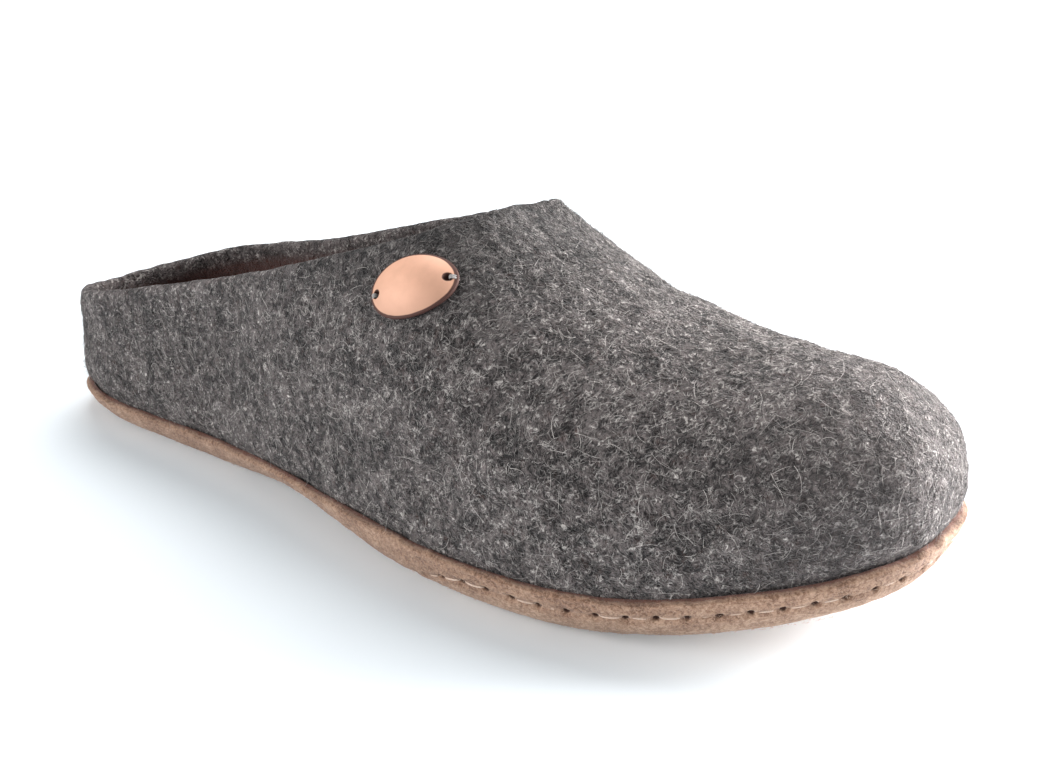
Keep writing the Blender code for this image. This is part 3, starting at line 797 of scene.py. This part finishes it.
def suede_finish(colours):
    """Tan suede: a nap of light and dark specks, cloudy patches, a dark cut edge, and stitch holes painted
    near black: painted shade over the cut leather's colour.
    """
    def paint(tree):
        here = place_in_mm(tree)
        cloud = remap(tree, noise(tree, here, 0.14, 3.0, 0.6), 0.32, 0.68)
        nap = remap(tree, noise(tree, here, 1.15, 4.0, 0.75), 0.36, 0.64)
        speck = remap(tree, noise(tree, placed(tree, here, (9, 4, 2)), 2.2, 2.0, 0.6), 0.54, 0.66)
        tone = total(tree, (cloud, 0.30), (nap, 0.60), (attribute(tree, "rub"), 0.22))
        ragged = total(tree, (attribute(tree, "cut"), 1.0), (maths(tree, "SUBTRACT", nap, 0.5), 0.7))
        skin = layered(
            tree, colours.suede_dark,
            (remap(tree, tone, 0.05, 0.55), colours.suede),
            (remap(tree, tone, 0.50, 1.0, 0.0, 0.75), colours.suede_light),
            (times(tree, speck, 0.40), colours.suede_light),
            (remap(tree, ragged, 0.22, 0.62, 0.0, 0.92), colours.cut_edge),
            # painted shade: the stitch holes' pits are painted near black, over the cut leather's colour
            (remap(tree, attribute(tree, "hole"), 0.25, 0.7), toned(colours.cut_edge, 0.25)))
        return {"Base Color": skin,
                "Normal": bump(tree, nap, 0.00025, 0.8, Normal=bump(tree, cloud, 0.0003, 0.4))}
    return finish("suede", paint, 0.9, Sheen_Weight=0.2, Sheen_Roughness=0.5, Specular_IOR_Level=0.2)


def copper_finish(colours):
    """Satin copper, browned towards the rim and round the holes, with faint cloudy marks and painted shade
    that darkens it towards the bottom.
    """
    def paint(tree):
        here = place_in_mm(tree)
        cloud = noise(tree, here, 0.35, 4.0, 0.6)
        rim = attribute(tree, "rim")
        uneven = total(tree, (rim, 1.0), (maths(tree, "SUBTRACT", cloud, 0.5), 0.5))
        low, high = (1000 * corner[2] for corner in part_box("badge")[:2])
        metal = layered(
            tree, colours.copper,
            (remap(tree, cloud, 0.35, 0.7, 0.0, 0.25), toned(colours.copper, 0.75)),
            # painted shade: the copper darkens towards the bottom of the plate
            (along_axis(tree, "Z", low, high, 0.62, 0.0), toned(colours.copper, 0.55)),
            (remap(tree, uneven, 0.30, 0.80), colours.patina))
        return {"Base Color": metal,
                "Roughness": remap(tree, maths(tree, "ADD", cloud, rim), 0.4, 1.4, 0.55, 0.70),
                "Normal": bump(tree, noise(tree, here, 4.0, 3.0, 0.6), 0.00004, 0.5)}
    return finish("satin_copper", paint, 0.6, 0.2)


def thread_finish(name, colour):
    """Twisted thread with fine light and dark strands."""
    def paint(tree):
        strands = noise(tree, place_in_mm(tree), 4.0)
        return {"Base Color": layered(tree, toned(colour, 0.55), (strands, toned(colour, 1.3))),
                "Normal": bump(tree, strands, 0.0001, 0.6)}
    return finish(name, paint, 0.75, Sheen_Weight=0.2)


def hair_finish(colours):
    """Loose wool hairs, from dark grey to near white by the attribute 'tone', darker where the felt is, with
    painted shade towards the top and painted light at the toe end.
    """
    def paint(tree):
        tone = attribute(tree, "tone")
        under = remap(tree, fibres(tree)["Tone"], 0.22, 0.85, 0.78, 0.0)
        return {"Base Color": layered(
            tree, toned(colours.felt_mid, 0.8),
            (tone, colours.hair),
            (times(tree, under, maths(tree, "SUBTRACT", 1.0, tone)), colours.felt_dark),
            # painted shade: the hairs darken towards the top
            (along_axis(tree, "Z", *TOP_SHADE), colours.felt_dark),
            # painted light: the hairs pale towards the toe end
            (along_axis(tree, "X", *TOE_PAINTED_LIGHT, 0.0, 0.24), colours.felt_light))}
    return finish("wool_hair", paint, 0.6, Specular_IOR_Level=0.3)


def floor_finish():
    """Pale matt floor that glows faintly, with the least unevenness in its roughness."""
    def paint(tree):
        return {"Roughness": remap(tree, noise(tree, place_in_mm(tree), 0.002, 1.0), 0.2, 0.8, 0.88, 0.92)}
    return finish("pale_floor", paint, 0.9, Specular_IOR_Level=0.0, Base_Color=(0.86, 0.90, 0.93, 1.0),
                  Emission_Color=(0.82, 0.94, 1.0, 1.0), Emission_Strength=0.10)


# Pieces

def felt_face(last, w, count):
    """Points, normals and relief of the felt's outer face, spread evenly up each profile, and which profiles
    run on to the top line, where both sides share their normals and relief."""
    u, _ = fold(w)
    front = u >= last.throat_place() - 1e-9
    ends = np.where(front, 1.0, last.profile_top(w))
    t = WALL_FOOT + (ends[:, None] - WALL_FOOT) * np.linspace(0.0, 1.0, 160)
    length = summed(np.linalg.norm(np.diff(last.point(w[:, None], t), axis=1), axis=-1))
    goal = np.linspace(0.0, 1.0, count + 1)
    places = np.stack([np.interp(goal, row / row[-1], line) for row, line in zip(length, t)])
    normal = last.normal(w[:, None], places)
    lift = felt_relief(last, w[:, None], places)
    across = mirrored(w)
    normal[:, -1] = unit(normal[:, -1] + normal[across, -1] * front[:, None])
    lift[:, -1] = np.where(front, (lift[:, -1] + lift[across, -1]) / 2, lift[:, -1])
    return last.point(w[:, None], places), normal, lift, front


def collar_drop(k, place, inner, far):
    """How far the walls are lowered near the collar: a share of the felt and the table's settling, falling
    off with the squared share of the collar's reach."""
    table = np.where(inner, along(place, COLLAR_SETTLE, 2), along(place, COLLAR_SETTLE, 1))
    drop = k.felt * COLLAR_SHARE + table
    share = np.clip(1 - far / COLLAR_REACH, 0.0, 1.0) ** 2
    return drop.reshape(drop.shape + (1,) * (share.ndim - drop.ndim)) * share


class SLIPPER_OT_upper(bpy.types.Operator):
    """Build the hollow felt upper with its rounded collar and soft creases"""
    bl_idname = "slipper.upper"
    bl_label = "Felt upper"

    def execute(self, context):
        last = the_last(context)
        k = last.k
        back, fore, rows_out, rows_in = 150, 104, 98, 52
        w = last.loop(back, fore)
        count = len(w)
        flat, normal, lift, front = felt_face(last, w, rows_out)
        outer = flat + normal * lift[..., None]
        flat_in, normal_in, lift_in, _ = felt_face(last, w, rows_in)
        inner = flat_in + normal_in * (0.6 * lift_in - k.felt)[..., None]
        # Rounded collar: the walls end a little lower and the edge closes in a low arch
        place = (outer[:, -1, 0] - last.shift[0]) / k.length
        _, other = fold(w)
        for wall in (outer, inner):
            up = unit(wall[:, -1] - wall[:, -4])
            drop = collar_drop(k, place, other, np.linalg.norm(wall - wall[:, -1:], axis=-1))
            wall -= np.where(front[:, None, None], 0.0, up[:, None] * drop[..., None])
        edge, edge_in = outer[:, -1], inner[:, -1]
        run = np.roll(edge, -1, axis=0) - np.roll(edge, 1, axis=0)
        run[back] = (0.0, 1.0, 0.0)
        out = unit(np.cross(normal[:, -1], run))
        out *= np.where(dot(out, edge - outer[:, -2]) < 0, -1.0, 1.0)[:, None]
        out[back] *= -1.0 if out[back, 0] > 0 else 1.0
        out[count - back] = out[back]
        ragged = waves(edge, 0.020, 0.00016, 11) + waves(edge, 0.006, 0.00010, 13)
        cap = arched(edge, edge_in, out, k.felt * 0.46 + ragged, 9)
        grid = np.concatenate((outer[:, ::-1], inner, cap[:, ::-1]), axis=1)
        body = rows_out + rows_in + 2
        number = zipped(count, grid.shape[1], (0, body - 1), back)
        number[count - back, body:] = number[back, body:]
        ring = np.concatenate((number[:, body - 1:], number[:, :1]), axis=1)
        columns = np.concatenate((np.arange(back), np.arange(count - back, count)))
        faces = np.concatenate((four_corners(number[:, :body]), four_corners(ring, columns)))
        deep = np.linalg.norm(inner - edge_in[:, None], axis=-1)
        tint = np.concatenate((np.zeros(outer.shape[:2]), 0.10 + 0.90 * ease(0.0005, 0.0050, deep),
                               np.tile(np.linspace(0.10, 0.0, cap.shape[1]), (count, 1))), axis=1)
        tint[front, rows_out + 1:body] = 1.0
        look = felt_finish(context.scene.slipper_colours)
        piece = shell("felt_upper", grid, faces, look, inside=tint)
        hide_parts("upper")
        return {"FINISHED"}


class SLIPPER_OT_outsole(bpy.types.Operator):
    """Build the suede cup with its turned-up rim and the row of stitch holes"""
    bl_idname = "slipper.outsole"
    bl_label = "Suede sole"

    def execute(self, context):
        last = the_last(context)
        k = last.k
        w = seam_loop(last, 1320)
        count = len(w)
        top = last.rim_place(w)
        seam, hole = seam_places(last, w)
        # Rows gather round the seam, where the holes are
        shares = np.linspace(-1.0, 1.0, 31)
        reach = np.where(shares < 0, (seam + 1)[:, None], (top - seam)[:, None])
        places = seam[:, None] + reach * np.sign(shares) * np.abs(shares) ** 1.5
        skin = last.offset(w[:, None], places, k.gap + k.leather)
        normal = last.normal(w[:, None], places)
        off = np.linalg.norm(skin - last.offset(w, seam, k.gap + k.leather)[:, None], axis=-1)
        groove = np.exp(-(off / GROOVE_WIDTH) ** 2) * GROOVE_DEPTH
        far = np.full(skin.shape[:2], 1.0)
        for spot in last.offset(hole[:, 0], hole[:, 1], k.gap + k.leather):
            far = np.minimum(far, np.linalg.norm(skin - spot, axis=-1))
        pit = np.exp(-(far / PIT_WIDTH) ** 4)
        rough = waves(skin, 0.02, 0.00009, 21) + waves(skin, 0.004, 0.00006, 23)
        relief = rough * ease(-1.0, -0.7, places) - groove - PIT_DEPTH * pit
        skin = skin + normal * relief[..., None]
        # The tip of the toe lifts a little more
        place = np.clip((skin[..., 0] - last.shift[0]) / k.length, 0.0, 1.0)
        lifted = 0.0018 * ease(0.86, 0.99, place) * (1 - ease(-1.0, -0.35, places))
        skin[..., 2] += lifted
        down = np.array((1.0, 0.8, 0.55, 0.3, 0.0))
        inside = last.offset(w[:, None], -1 + (top + 1)[:, None] * down, k.gap)
        tangent = unit(last.point(w, top + 0.02) - last.point(w, top))
        ragged = waves(skin[:, -1], 0.012, 0.00025, 27) + waves(skin[:, -1], 0.004, 0.00012, 29)
        crown = arched(skin[:, -1], inside[:, 0], tangent, k.leather * 0.18 + ragged, 7)
        spread = np.linspace(0, 1, 16)[:-1]
        tread = last.sheet(w, skin[:, 0], spread, 0.0)
        tread[..., 2] += lifted[:, :1] * ease(0.55, 1.0, spread)
        floor = last.sheet(w, inside[:, -1], np.linspace(0, 1, 6)[:-1], k.leather)
        grid = np.concatenate((tread, skin, crown, inside, floor[:, ::-1]), axis=1)
        rows = grid.shape[1]
        number = zipped(count, rows, (0, rows - 1))
        band = slice(tread.shape[1], tread.shape[1] + skin.shape[1])
        rim = band.stop + crown.shape[1]
        cut, dark, rub = np.zeros((3, count, rows))
        cut[:, band.stop:rim] = ease(0.30, 0.80, (1 - np.cos(np.linspace(0, math.pi, 9)[1:-1])) / 2)
        cut[:, rim:rim + 2] = 1.0
        # share of each stitch hole's pit, painted near black by the suede finish as painted shade
        dark[:, band] = pit
        rub[:, band] = ease(0.0, 0.7, -shares)
        look = suede_finish(context.scene.slipper_colours)
        piece = shell("suede_outsole", grid, four_corners(number), look, cut=cut, hole=dark, rub=rub)
        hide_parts("outsole")
        return {"FINISHED"}


def seam_loop(last, count):
    """Places w spread evenly over the rim's length."""
    fine = np.linspace(0.0, 1.0, 1200)
    length = way_along(last.offset(fine, last.rim_place(fine), last.k.leather))
    return both_sides(np.interp(np.linspace(0.0, length[-1], count // 2 + 1), length, fine))


def seam_line(last, w):
    """Place t of the seam: on the side of the band at the ball and toe, under the edge at waist and heel."""
    s = outline_place(fold(w)[0])
    low = last.k.leather + last.k.gap + 0.0006
    return last.height_place(w, low + (last.trim.stitch_height - low) * ease(0.585, 0.685, s))


def seam_places(last, w):
    """Place t of the seam at each w, and the holes as pairs of w and t at the stitch pitch."""
    fine = np.linspace(0.0, 2.0, 6001)
    length = way_along(last.offset(fine, seam_line(last, fine), last.k.leather))
    number = int(round(length[-1] / last.trim.stitch_pitch))
    spots = np.interp((np.arange(number) + 0.35) / number * length[-1], length, fine)
    return seam_line(last, w), np.column_stack((spots, seam_line(last, spots)))


class SLIPPER_OT_stitches(bpy.types.Operator):
    """Lay the seam's thread from hole to hole in its groove"""
    bl_idname = "slipper.stitches"
    bl_label = "Sole stitches"

    def execute(self, context):
        last = the_last(context)
        k, trim = last.k, last.trim
        _, hole = seam_places(last, np.zeros(1))
        start = hole[:, 0]
        span = np.mod(np.roll(start, -1) - start, 2.0)
        share = np.linspace(0.0, 1.0, 13)
        # Each thread follows the seam and dives by a cube of the distance from its middle
        w = start[:, None] + span[:, None] * (0.06 + 0.86 * share)
        draw = np.random.default_rng(41)
        sunk = draw.uniform(0.00016, 0.00050, len(start))[:, None] + 0.00008
        deep = sunk + 0.0009 * np.abs(2 * share - 1) ** 3
        t = seam_line(last, w)
        paths = last.offset(w, t, k.gap + k.leather) - last.normal(w, t) * deep[..., None]
        radii = np.full(paths.shape[:2], trim.stitch_thread / 2)
        radii[:, [0, -1]] *= 0.3
        refs = last.normal(start, seam_line(last, start))
        piece = tubes("sole_stitches", paths, radii, refs, 6,
                      thread_finish("seam_thread", context.scene.slipper_colours.thread))
        return {"FINISHED"}


class SLIPPER_OT_insole(bpy.types.Operator):
    """Build the dark felt footbed, with a softly pressed top"""
    bl_idname = "slipper.insole"
    bl_label = "Insole"

    def execute(self, context):
        last = the_last(context)
        k = last.k
        w = last.loop(110, 80)
        near = last.point(w, WALL_FOOT)
        step = np.linalg.norm(near - last.point(w, WALL_FOOT - 0.02), axis=-1) / 0.02
        foot = WALL_FOOT - k.gap / step
        level = k.leather + k.gap
        # Flat underneath, up the felt's inner face, then a waved top that climbs to it by a squared step
        low = [last.point(w, -1.0), last.point(w, foot)]
        side = [last.offset(w, foot + up, -(k.felt + k.gap)) for up in (0.0, 0.035, 0.07)]
        bottom = last.sheet(w, low[0], np.linspace(0, 1, 5)[:-1], level)
        shares = np.linspace(0, 1, 26)[:-1]
        top = last.sheet(w, side[-1], shares, level + k.insole)
        top[..., 2] += waves(top, 0.035, 0.00035, 31) + 0.0002 * ease(0.8, 1.0, shares)
        top[..., 2] += 0.6 * (side[-1][:, 2:] - top[..., 2]) * ease(0.80, 1.0, shares) ** 2
        top[:, 0, 2] = (top[:, 0, 2] + top[mirrored(w), 0, 2]) / 2
        grid = np.concatenate((bottom, np.stack(low + side, axis=1), top[:, ::-1]), axis=1)
        number = zipped(len(w), grid.shape[1], (0, grid.shape[1] - 1))
        piece = shell("felt_insole", grid, four_corners(number), lining_finish(context.scene.slipper_colours))
        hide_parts("insole")
        return {"FINISHED"}


class SLIPPER_OT_plate(bpy.types.Operator):
    """Build the domed oval copper plate with its two thread holes"""
    bl_idname = "slipper.plate"
    bl_label = "Copper plate"

    def execute(self, context):
        last = the_last(context)
        k, b = last.k, last.trim
        centre, long_way, short_way, normal, bend = last.badge_spot()
        turn = np.linspace(0.0, 2 * math.pi, 240, endpoint=False)
        half_a, half_b = b.badge_length / 2, b.badge_width / 2
        # Ellipses by radius and height: flat back, edge, and a dome that falls by a power of the radius
        top = [(r, k.gap + b.badge_sheet + b.badge_dome * (1 - (r / 0.975) ** 2.4))
               for r in np.linspace(0.975, 0.0, 52)]
        edge = [(r, k.gap + share * b.badge_sheet)
                for r, share in ((0.985, 0.08), (1.0, 0.35), (1.0, 0.70), (0.992, 0.90))]
        back = [(r, k.gap) for r in (0.0, 0.3, 0.6, 0.85, 0.96)]
        profile = back + edge + top
        radius = np.array([r for r, _ in profile])
        lift = np.array([h for _, h in profile])[:, None] + np.zeros((1, len(turn)))
        a = half_a * radius[:, None] * np.cos(turn)[None, :]
        c = half_b * radius[:, None] * np.sin(turn)[None, :]
        far = np.minimum(np.hypot(a - b.badge_spacing / 2, c), np.hypot(a + b.badge_spacing / 2, c))
        upper_side = np.arange(len(profile))[:, None] >= len(back) + len(edge)
        pit = np.where(upper_side, 1 - ease(0.42 * b.badge_hole, 0.60 * b.badge_hole, far), 0.0)
        lift = lift * (1 - pit) + pit * (k.gap + 0.00012)
        flat = np.stack((a, c, 0 * a), axis=-1)
        lift = lift + np.where(upper_side, waves(flat, 0.007, 0.00004, 51), 0.0)
        points = (centre + a[..., None] * long_way + c[..., None] * short_way
                  + (cubic_terms(a, c) @ bend + lift)[..., None] * normal)
        number = np.arange(a.size).reshape(a.shape).T.copy()
        number[:, 0] = number[0, 0]
        number[:, -1] = number[0, -1]
        rim = np.where(upper_side, ease(0.90, 0.965, radius[:, None] + 0 * a), 1.0)
        rim = np.maximum(rim, 1 - ease(0.5 * b.badge_hole, 0.80 * b.badge_hole, far))
        look = copper_finish(context.scene.slipper_colours)
        piece = shell("copper_plate", points, four_corners(number), look, rim=rim)
        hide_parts("badge")
        # Two short stitches of several strands, from each hole over the plate's edge into the felt
        paths, refs = [], []
        draw = np.random.default_rng(53)
        share = np.linspace(0, 1, 14)
        for way in (-1, 1):
            for strand in range(3):
                side = (strand - 1.0) * 0.00030
                reach = b.badge_spacing / 2 + share * (half_a - b.badge_spacing / 2 - 0.0002)
                wide = side + draw.uniform(-0.00008, 0.00008)
                r = np.clip(reach / half_a, 0, 1)
                over = k.gap + b.badge_sheet + b.badge_dome * np.clip(1 - (r / 0.975) ** 2.4, 0, 1)
                rise = np.sin(np.clip(share * 1.02, 0, 1) * math.pi) ** 0.35
                height = (over + 0.00018) * rise - 0.0004 * (1 - rise)
                aa, cc = way * reach, np.full_like(reach, wide) * (0.8 + 0.5 * share)
                paths.append(centre + aa[:, None] * long_way + cc[:, None] * short_way
                             + (cubic_terms(aa, cc) @ bend + height)[:, None] * normal)
                refs.append(short_way)
        paths = np.array(paths)
        thread = tubes("plate_threads", paths, np.full(paths.shape[:2], 0.00022), np.array(refs), 7,
                       thread_finish("plate_thread", (0.30, 0.28, 0.27)))
        return {"FINISHED"}


def hair_roots(last, draw, count, sole):
    """Seeded roots on the felt, or on the band of the sole, even over the area and none under the plate: w,
    t, point, normal, two tangents, and the share of its length that a hair keeps near the collar."""
    k = last.k
    ww = np.linspace(0.0, 2.0, 481)[:-1]
    front = last.throat_place()
    u, _ = fold(ww)
    rim = last.rim_place(ww)
    foot = 0 * rim - 0.93 if sole else rim + 0.01
    ends = rim if sole else np.where(u >= front, 1.0, last.profile_top(ww))
    v = np.linspace(0.0, 1.0, 61)
    t = foot[:, None] + (ends - foot)[:, None] * v[None, :]
    grid = last.point(ww[:, None], t)
    wide = np.linalg.norm(np.roll(grid, -1, axis=0)[:, :-1] - grid[:, :-1], axis=-1)
    high = np.linalg.norm(grid[:, 1:] - grid[:, :-1], axis=-1)
    bare = np.linalg.norm(grid[:, :-1] - last.badge_spot()[0], axis=-1) < 0.0085
    area = np.where(bare, 0.0, wide * high).ravel()
    pick = np.searchsorted(np.cumsum(area) / area.sum(), draw.uniform(size=count))
    i, j = np.divmod(pick, wide.shape[1])
    step = ww[1] - ww[0]
    w = ww[i] + draw.uniform(size=count) * step
    share = (j + draw.uniform(size=count)) / (len(v) - 1)
    ahead = (i + 1) % len(ww)
    mix = (w - ww[i]) / step
    low = foot[i] * (1 - mix) + foot[ahead] * mix
    high = ends[i] * (1 - mix) + ends[ahead] * mix
    t = low + (high - low) * share
    normal = last.normal(w, t)
    rise = k.gap + k.leather + 0 * w if sole else felt_relief(last, w, t)
    point = last.point(w, t) + normal * rise[:, None]
    free = np.ones(count)
    if not sole:
        edge = last.point(w, high)
        up = unit(edge - last.point(w, high - 0.03))
        places, inner = fold(w)
        far = np.linalg.norm(point - edge, axis=-1)
        drop = collar_drop(k, (edge[:, 0] - last.shift[0]) / k.length, inner, far)
        point = point - up * (drop * (places < front))[:, None]
        free = np.where(places < front + 0.02, 0.35 + 0.65 * ease(0.001, 0.009, far), 1.0)
    level = unit(np.cross(normal, draw.normal(size=(count, 3))))
    return w, t, point, normal, level, np.cross(normal, level), free


def bending(last, w, t, normal, way):
    """Curvature of the felt along a tangent direction, from how the normal turns over a short step."""
    small = 1e-4
    base = last.point(w, t)
    by_w = (last.point(w + small, t) - base) / small
    back = np.where(t > 0.99, -small, small)
    by_t = (last.point(w, t + back) - base) / back[:, None]
    ww, wt, tt = dot(by_w, by_w), dot(by_w, by_t), dot(by_t, by_t)
    a, b = dot(by_w, way), dot(by_t, way)
    size = ww * tt - wt ** 2 + 1e-15
    reach = 0.002
    dw, dt = (tt * a - wt * b) / size * reach, (ww * b - wt * a) / size * reach
    turned = last.normal(w + dw, np.clip(t + dt, -1, 1)) - normal
    return np.clip(dot(turned, way) / reach, -60.0, 120.0)


def hair_layer(last, material, sole, name, count, seed, length, radius, steps, curl, lift, tones):
    """Hairs as thin three-sided tubes. Each one walks over the felt with a steadily turning heading, follows
    the felt's bending, and rises by its lift as a power of the share of its length."""
    draw = np.random.default_rng(seed)
    w, t, point, normal, level, steep, free = hair_roots(last, draw, count, sole)
    long = draw.uniform(*length, count) * draw.uniform(0.55, 1.0, count) * free
    share = np.linspace(0.0, 1.0, steps + 1)
    turn = draw.uniform(-curl, curl, count)
    more = draw.uniform(-curl, curl, count) * 0.8
    heading = (turn[:, None] * share + more[:, None] * share ** 2)[:, :-1]
    part = long[:, None] / steps
    x, y = summed(np.cos(heading) * part), summed(np.sin(heading) * part)
    bend = bending(last, w, t, normal, level)
    rise = draw.uniform(*lift, count)[:, None] * share ** draw.uniform(0.8, 2.2, count)[:, None]
    drop = 0.5 * bend[:, None] * (x ** 2 + y ** 2)
    paths = (point[:, None] + level[:, None] * x[..., None] + steep[:, None] * y[..., None]
             + normal[:, None] * (rise * long[:, None] - drop - 0.00005)[..., None])
    size = radius * draw.uniform(0.7, 1.25, count)[:, None] * (1 - 0.65 * share)
    refs = unit(normal + 0.35 * steep)
    tone = draw.uniform(0.0, 1.0, count) ** tones
    piece = tubes(name, paths, size, refs, 3, material, tone=tone)


class SLIPPER_OT_hairs(bpy.types.Operator):
    """Scatter short hairs and long curled ones over the felt"""
    bl_idname = "slipper.hairs"
    bl_label = "Wool hairs"

    def execute(self, context):
        last = the_last(context)
        colours = context.scene.slipper_colours
        wool, suede = hair_finish(colours), thread_finish("suede_hair", colours.suede_light)
        for name, count, *rest in HAIRS:
            sole = name == "suede_nap"
            hair_layer(last, suede if sole else wool, sole, name, getattr(last.trim, count), *rest)
        return {"FINISHED"}


class SLIPPER_OT_stage(bpy.types.Operator):
    """Set the pale floor, the soft light and the camera"""
    bl_idname = "slipper.stage"
    bl_label = "Stage and camera"

    def execute(self, context):
        scene = context.scene
        last = the_last(context)
        floor = bpy.data.meshes.new("floor")
        far = 40.0
        corners = [(-far, -far, 0), (far, -far, 0), (far, far, 0), (-far, far, 0)]
        floor.from_pydata(corners, [], [(0, 1, 2, 3)])
        floor.materials.append(floor_finish())
        add_object("floor", floor)
        scene.world = bpy.data.worlds.new("studio_air")
        scene.world.use_nodes = True
        sky = scene.world.node_tree.nodes["Background"].inputs
        sky["Color"].default_value, sky["Strength"].default_value = (0.93, 0.97, 1.0, 1.0), 0.34
        for name, compass, height, width, strength in SUNS:
            light = bpy.data.lights.new(name, "SUN")
            light.angle, light.energy = math.radians(width), strength
            set_looking(add_object(name, light), direction(compass, height), np.zeros(3))
        light = bpy.data.lights.new("toe_side", "AREA")
        light.size, light.energy = 0.32, 11.4
        toe = np.array((last.k.length / 2, 0.01, 0.03))
        set_looking(add_object("toe_side", light), toe + 0.42 * unit(np.array((0.50, 0.83, 0.25))), toe)
        # Looking at the aimed point, then turned so that it lies off the middle of the picture
        back = direction(CAMERA_AZIMUTH - 90.0, CAMERA_ELEVATION)
        right = direction(CAMERA_AZIMUTH, 0.0)
        axes = np.stack((right, np.cross(right, -back), -back))
        seen = unit(np.array((AIM_RIGHT / CAMERA_FOCAL, -AIM_DOWN / CAMERA_FOCAL, 1.0)))
        hinge = np.cross((0.0, 0.0, 1.0), seen)
        sine, cosine = np.linalg.norm(hinge), seen[2]
        hinge = unit(hinge)
        skew = np.array(((0, -hinge[2], hinge[1]), (hinge[2], 0, -hinge[0]), (-hinge[1], hinge[0], 0)))
        turned = (np.eye(3) + sine * skew + (1 - cosine) * skew @ skew) @ axes
        lens = bpy.data.cameras.new("camera")
        lens.sensor_width, lens.lens = FILM_WIDTH, CAMERA_FOCAL / PICTURE_WIDTH * FILM_WIDTH
        lens.clip_start, lens.clip_end = 0.01, 50.0
        scene.camera = add_object("camera", lens)
        spot = np.array(AIMED_POINT) + last.shift + back * CAMERA_DISTANCE
        place_by_axes(scene.camera, spot, turned[0], turned[1], -turned[2])
        scene.view_settings.view_transform = "Standard"
        return {"FINISHED"}


def direction(compass, height):
    """Unit vector by its compass angle from +X and its height over the floor, in degrees."""
    turn, rise = math.radians(compass), math.radians(height)
    return np.array((math.cos(turn) * math.cos(rise), math.sin(turn) * math.cos(rise), math.sin(rise)))


def place_by_axes(thing, spot, x, y, z):
    """Puts a thing at a spot, with its axes along three directions."""
    thing.matrix_world = Matrix((*np.column_stack((x, y, z, spot)), (0, 0, 0, 1)))


def set_looking(thing, spot, aim):
    """Puts a thing at a spot, looking at an aim, upright."""
    z = unit(spot - aim)
    x = unit(np.cross((0.0, 0.0, 1.0), z))
    place_by_axes(thing, spot, x, np.cross(z, x), z)


class SLIPPER_PT_panel(bpy.types.Panel):
    """Lists the slipper's sizes, colours and builders"""
    bl_label = "Felt slipper"
    bl_idname = "SLIPPER_PT_panel"
    bl_space_type = "VIEW_3D"
    bl_region_type = "UI"
    bl_category = "Slipper"

    def draw(self, context):
        layout = self.layout
        for operator in OPERATORS:
            layout.operator(operator.bl_idname)
        for name in GROUPS:
            group = getattr(context.scene, name)
            box = layout.box()
            for key in group.__annotations__:
                box.prop(group, key)


OPERATORS = (SLIPPER_OT_upper, SLIPPER_OT_outsole, SLIPPER_OT_stitches, SLIPPER_OT_insole, SLIPPER_OT_plate,
             SLIPPER_OT_hairs, SLIPPER_OT_stage)
GROUPS = {"slipper_sizes": SlipperSizes, "slipper_trim": SlipperTrim, "slipper_colours": SlipperColours}
KINDS = (*GROUPS.values(), *OPERATORS, SLIPPER_PT_panel)


def register():
    for kind in KINDS:
        bpy.utils.register_class(kind)
    for name, group in GROUPS.items():
        setattr(bpy.types.Scene, name, bpy.props.PointerProperty(type=group))


def unregister():
    for name in GROUPS:
        delattr(bpy.types.Scene, name)
    for kind in reversed(KINDS):
        bpy.utils.unregister_class(kind)


def main():
    register()
    for name in ("upper", "outsole", "stitches", "insole", "plate", "hairs", "stage"):
        getattr(bpy.ops.slipper, name)()


if __name__ == "__main__":
    main()
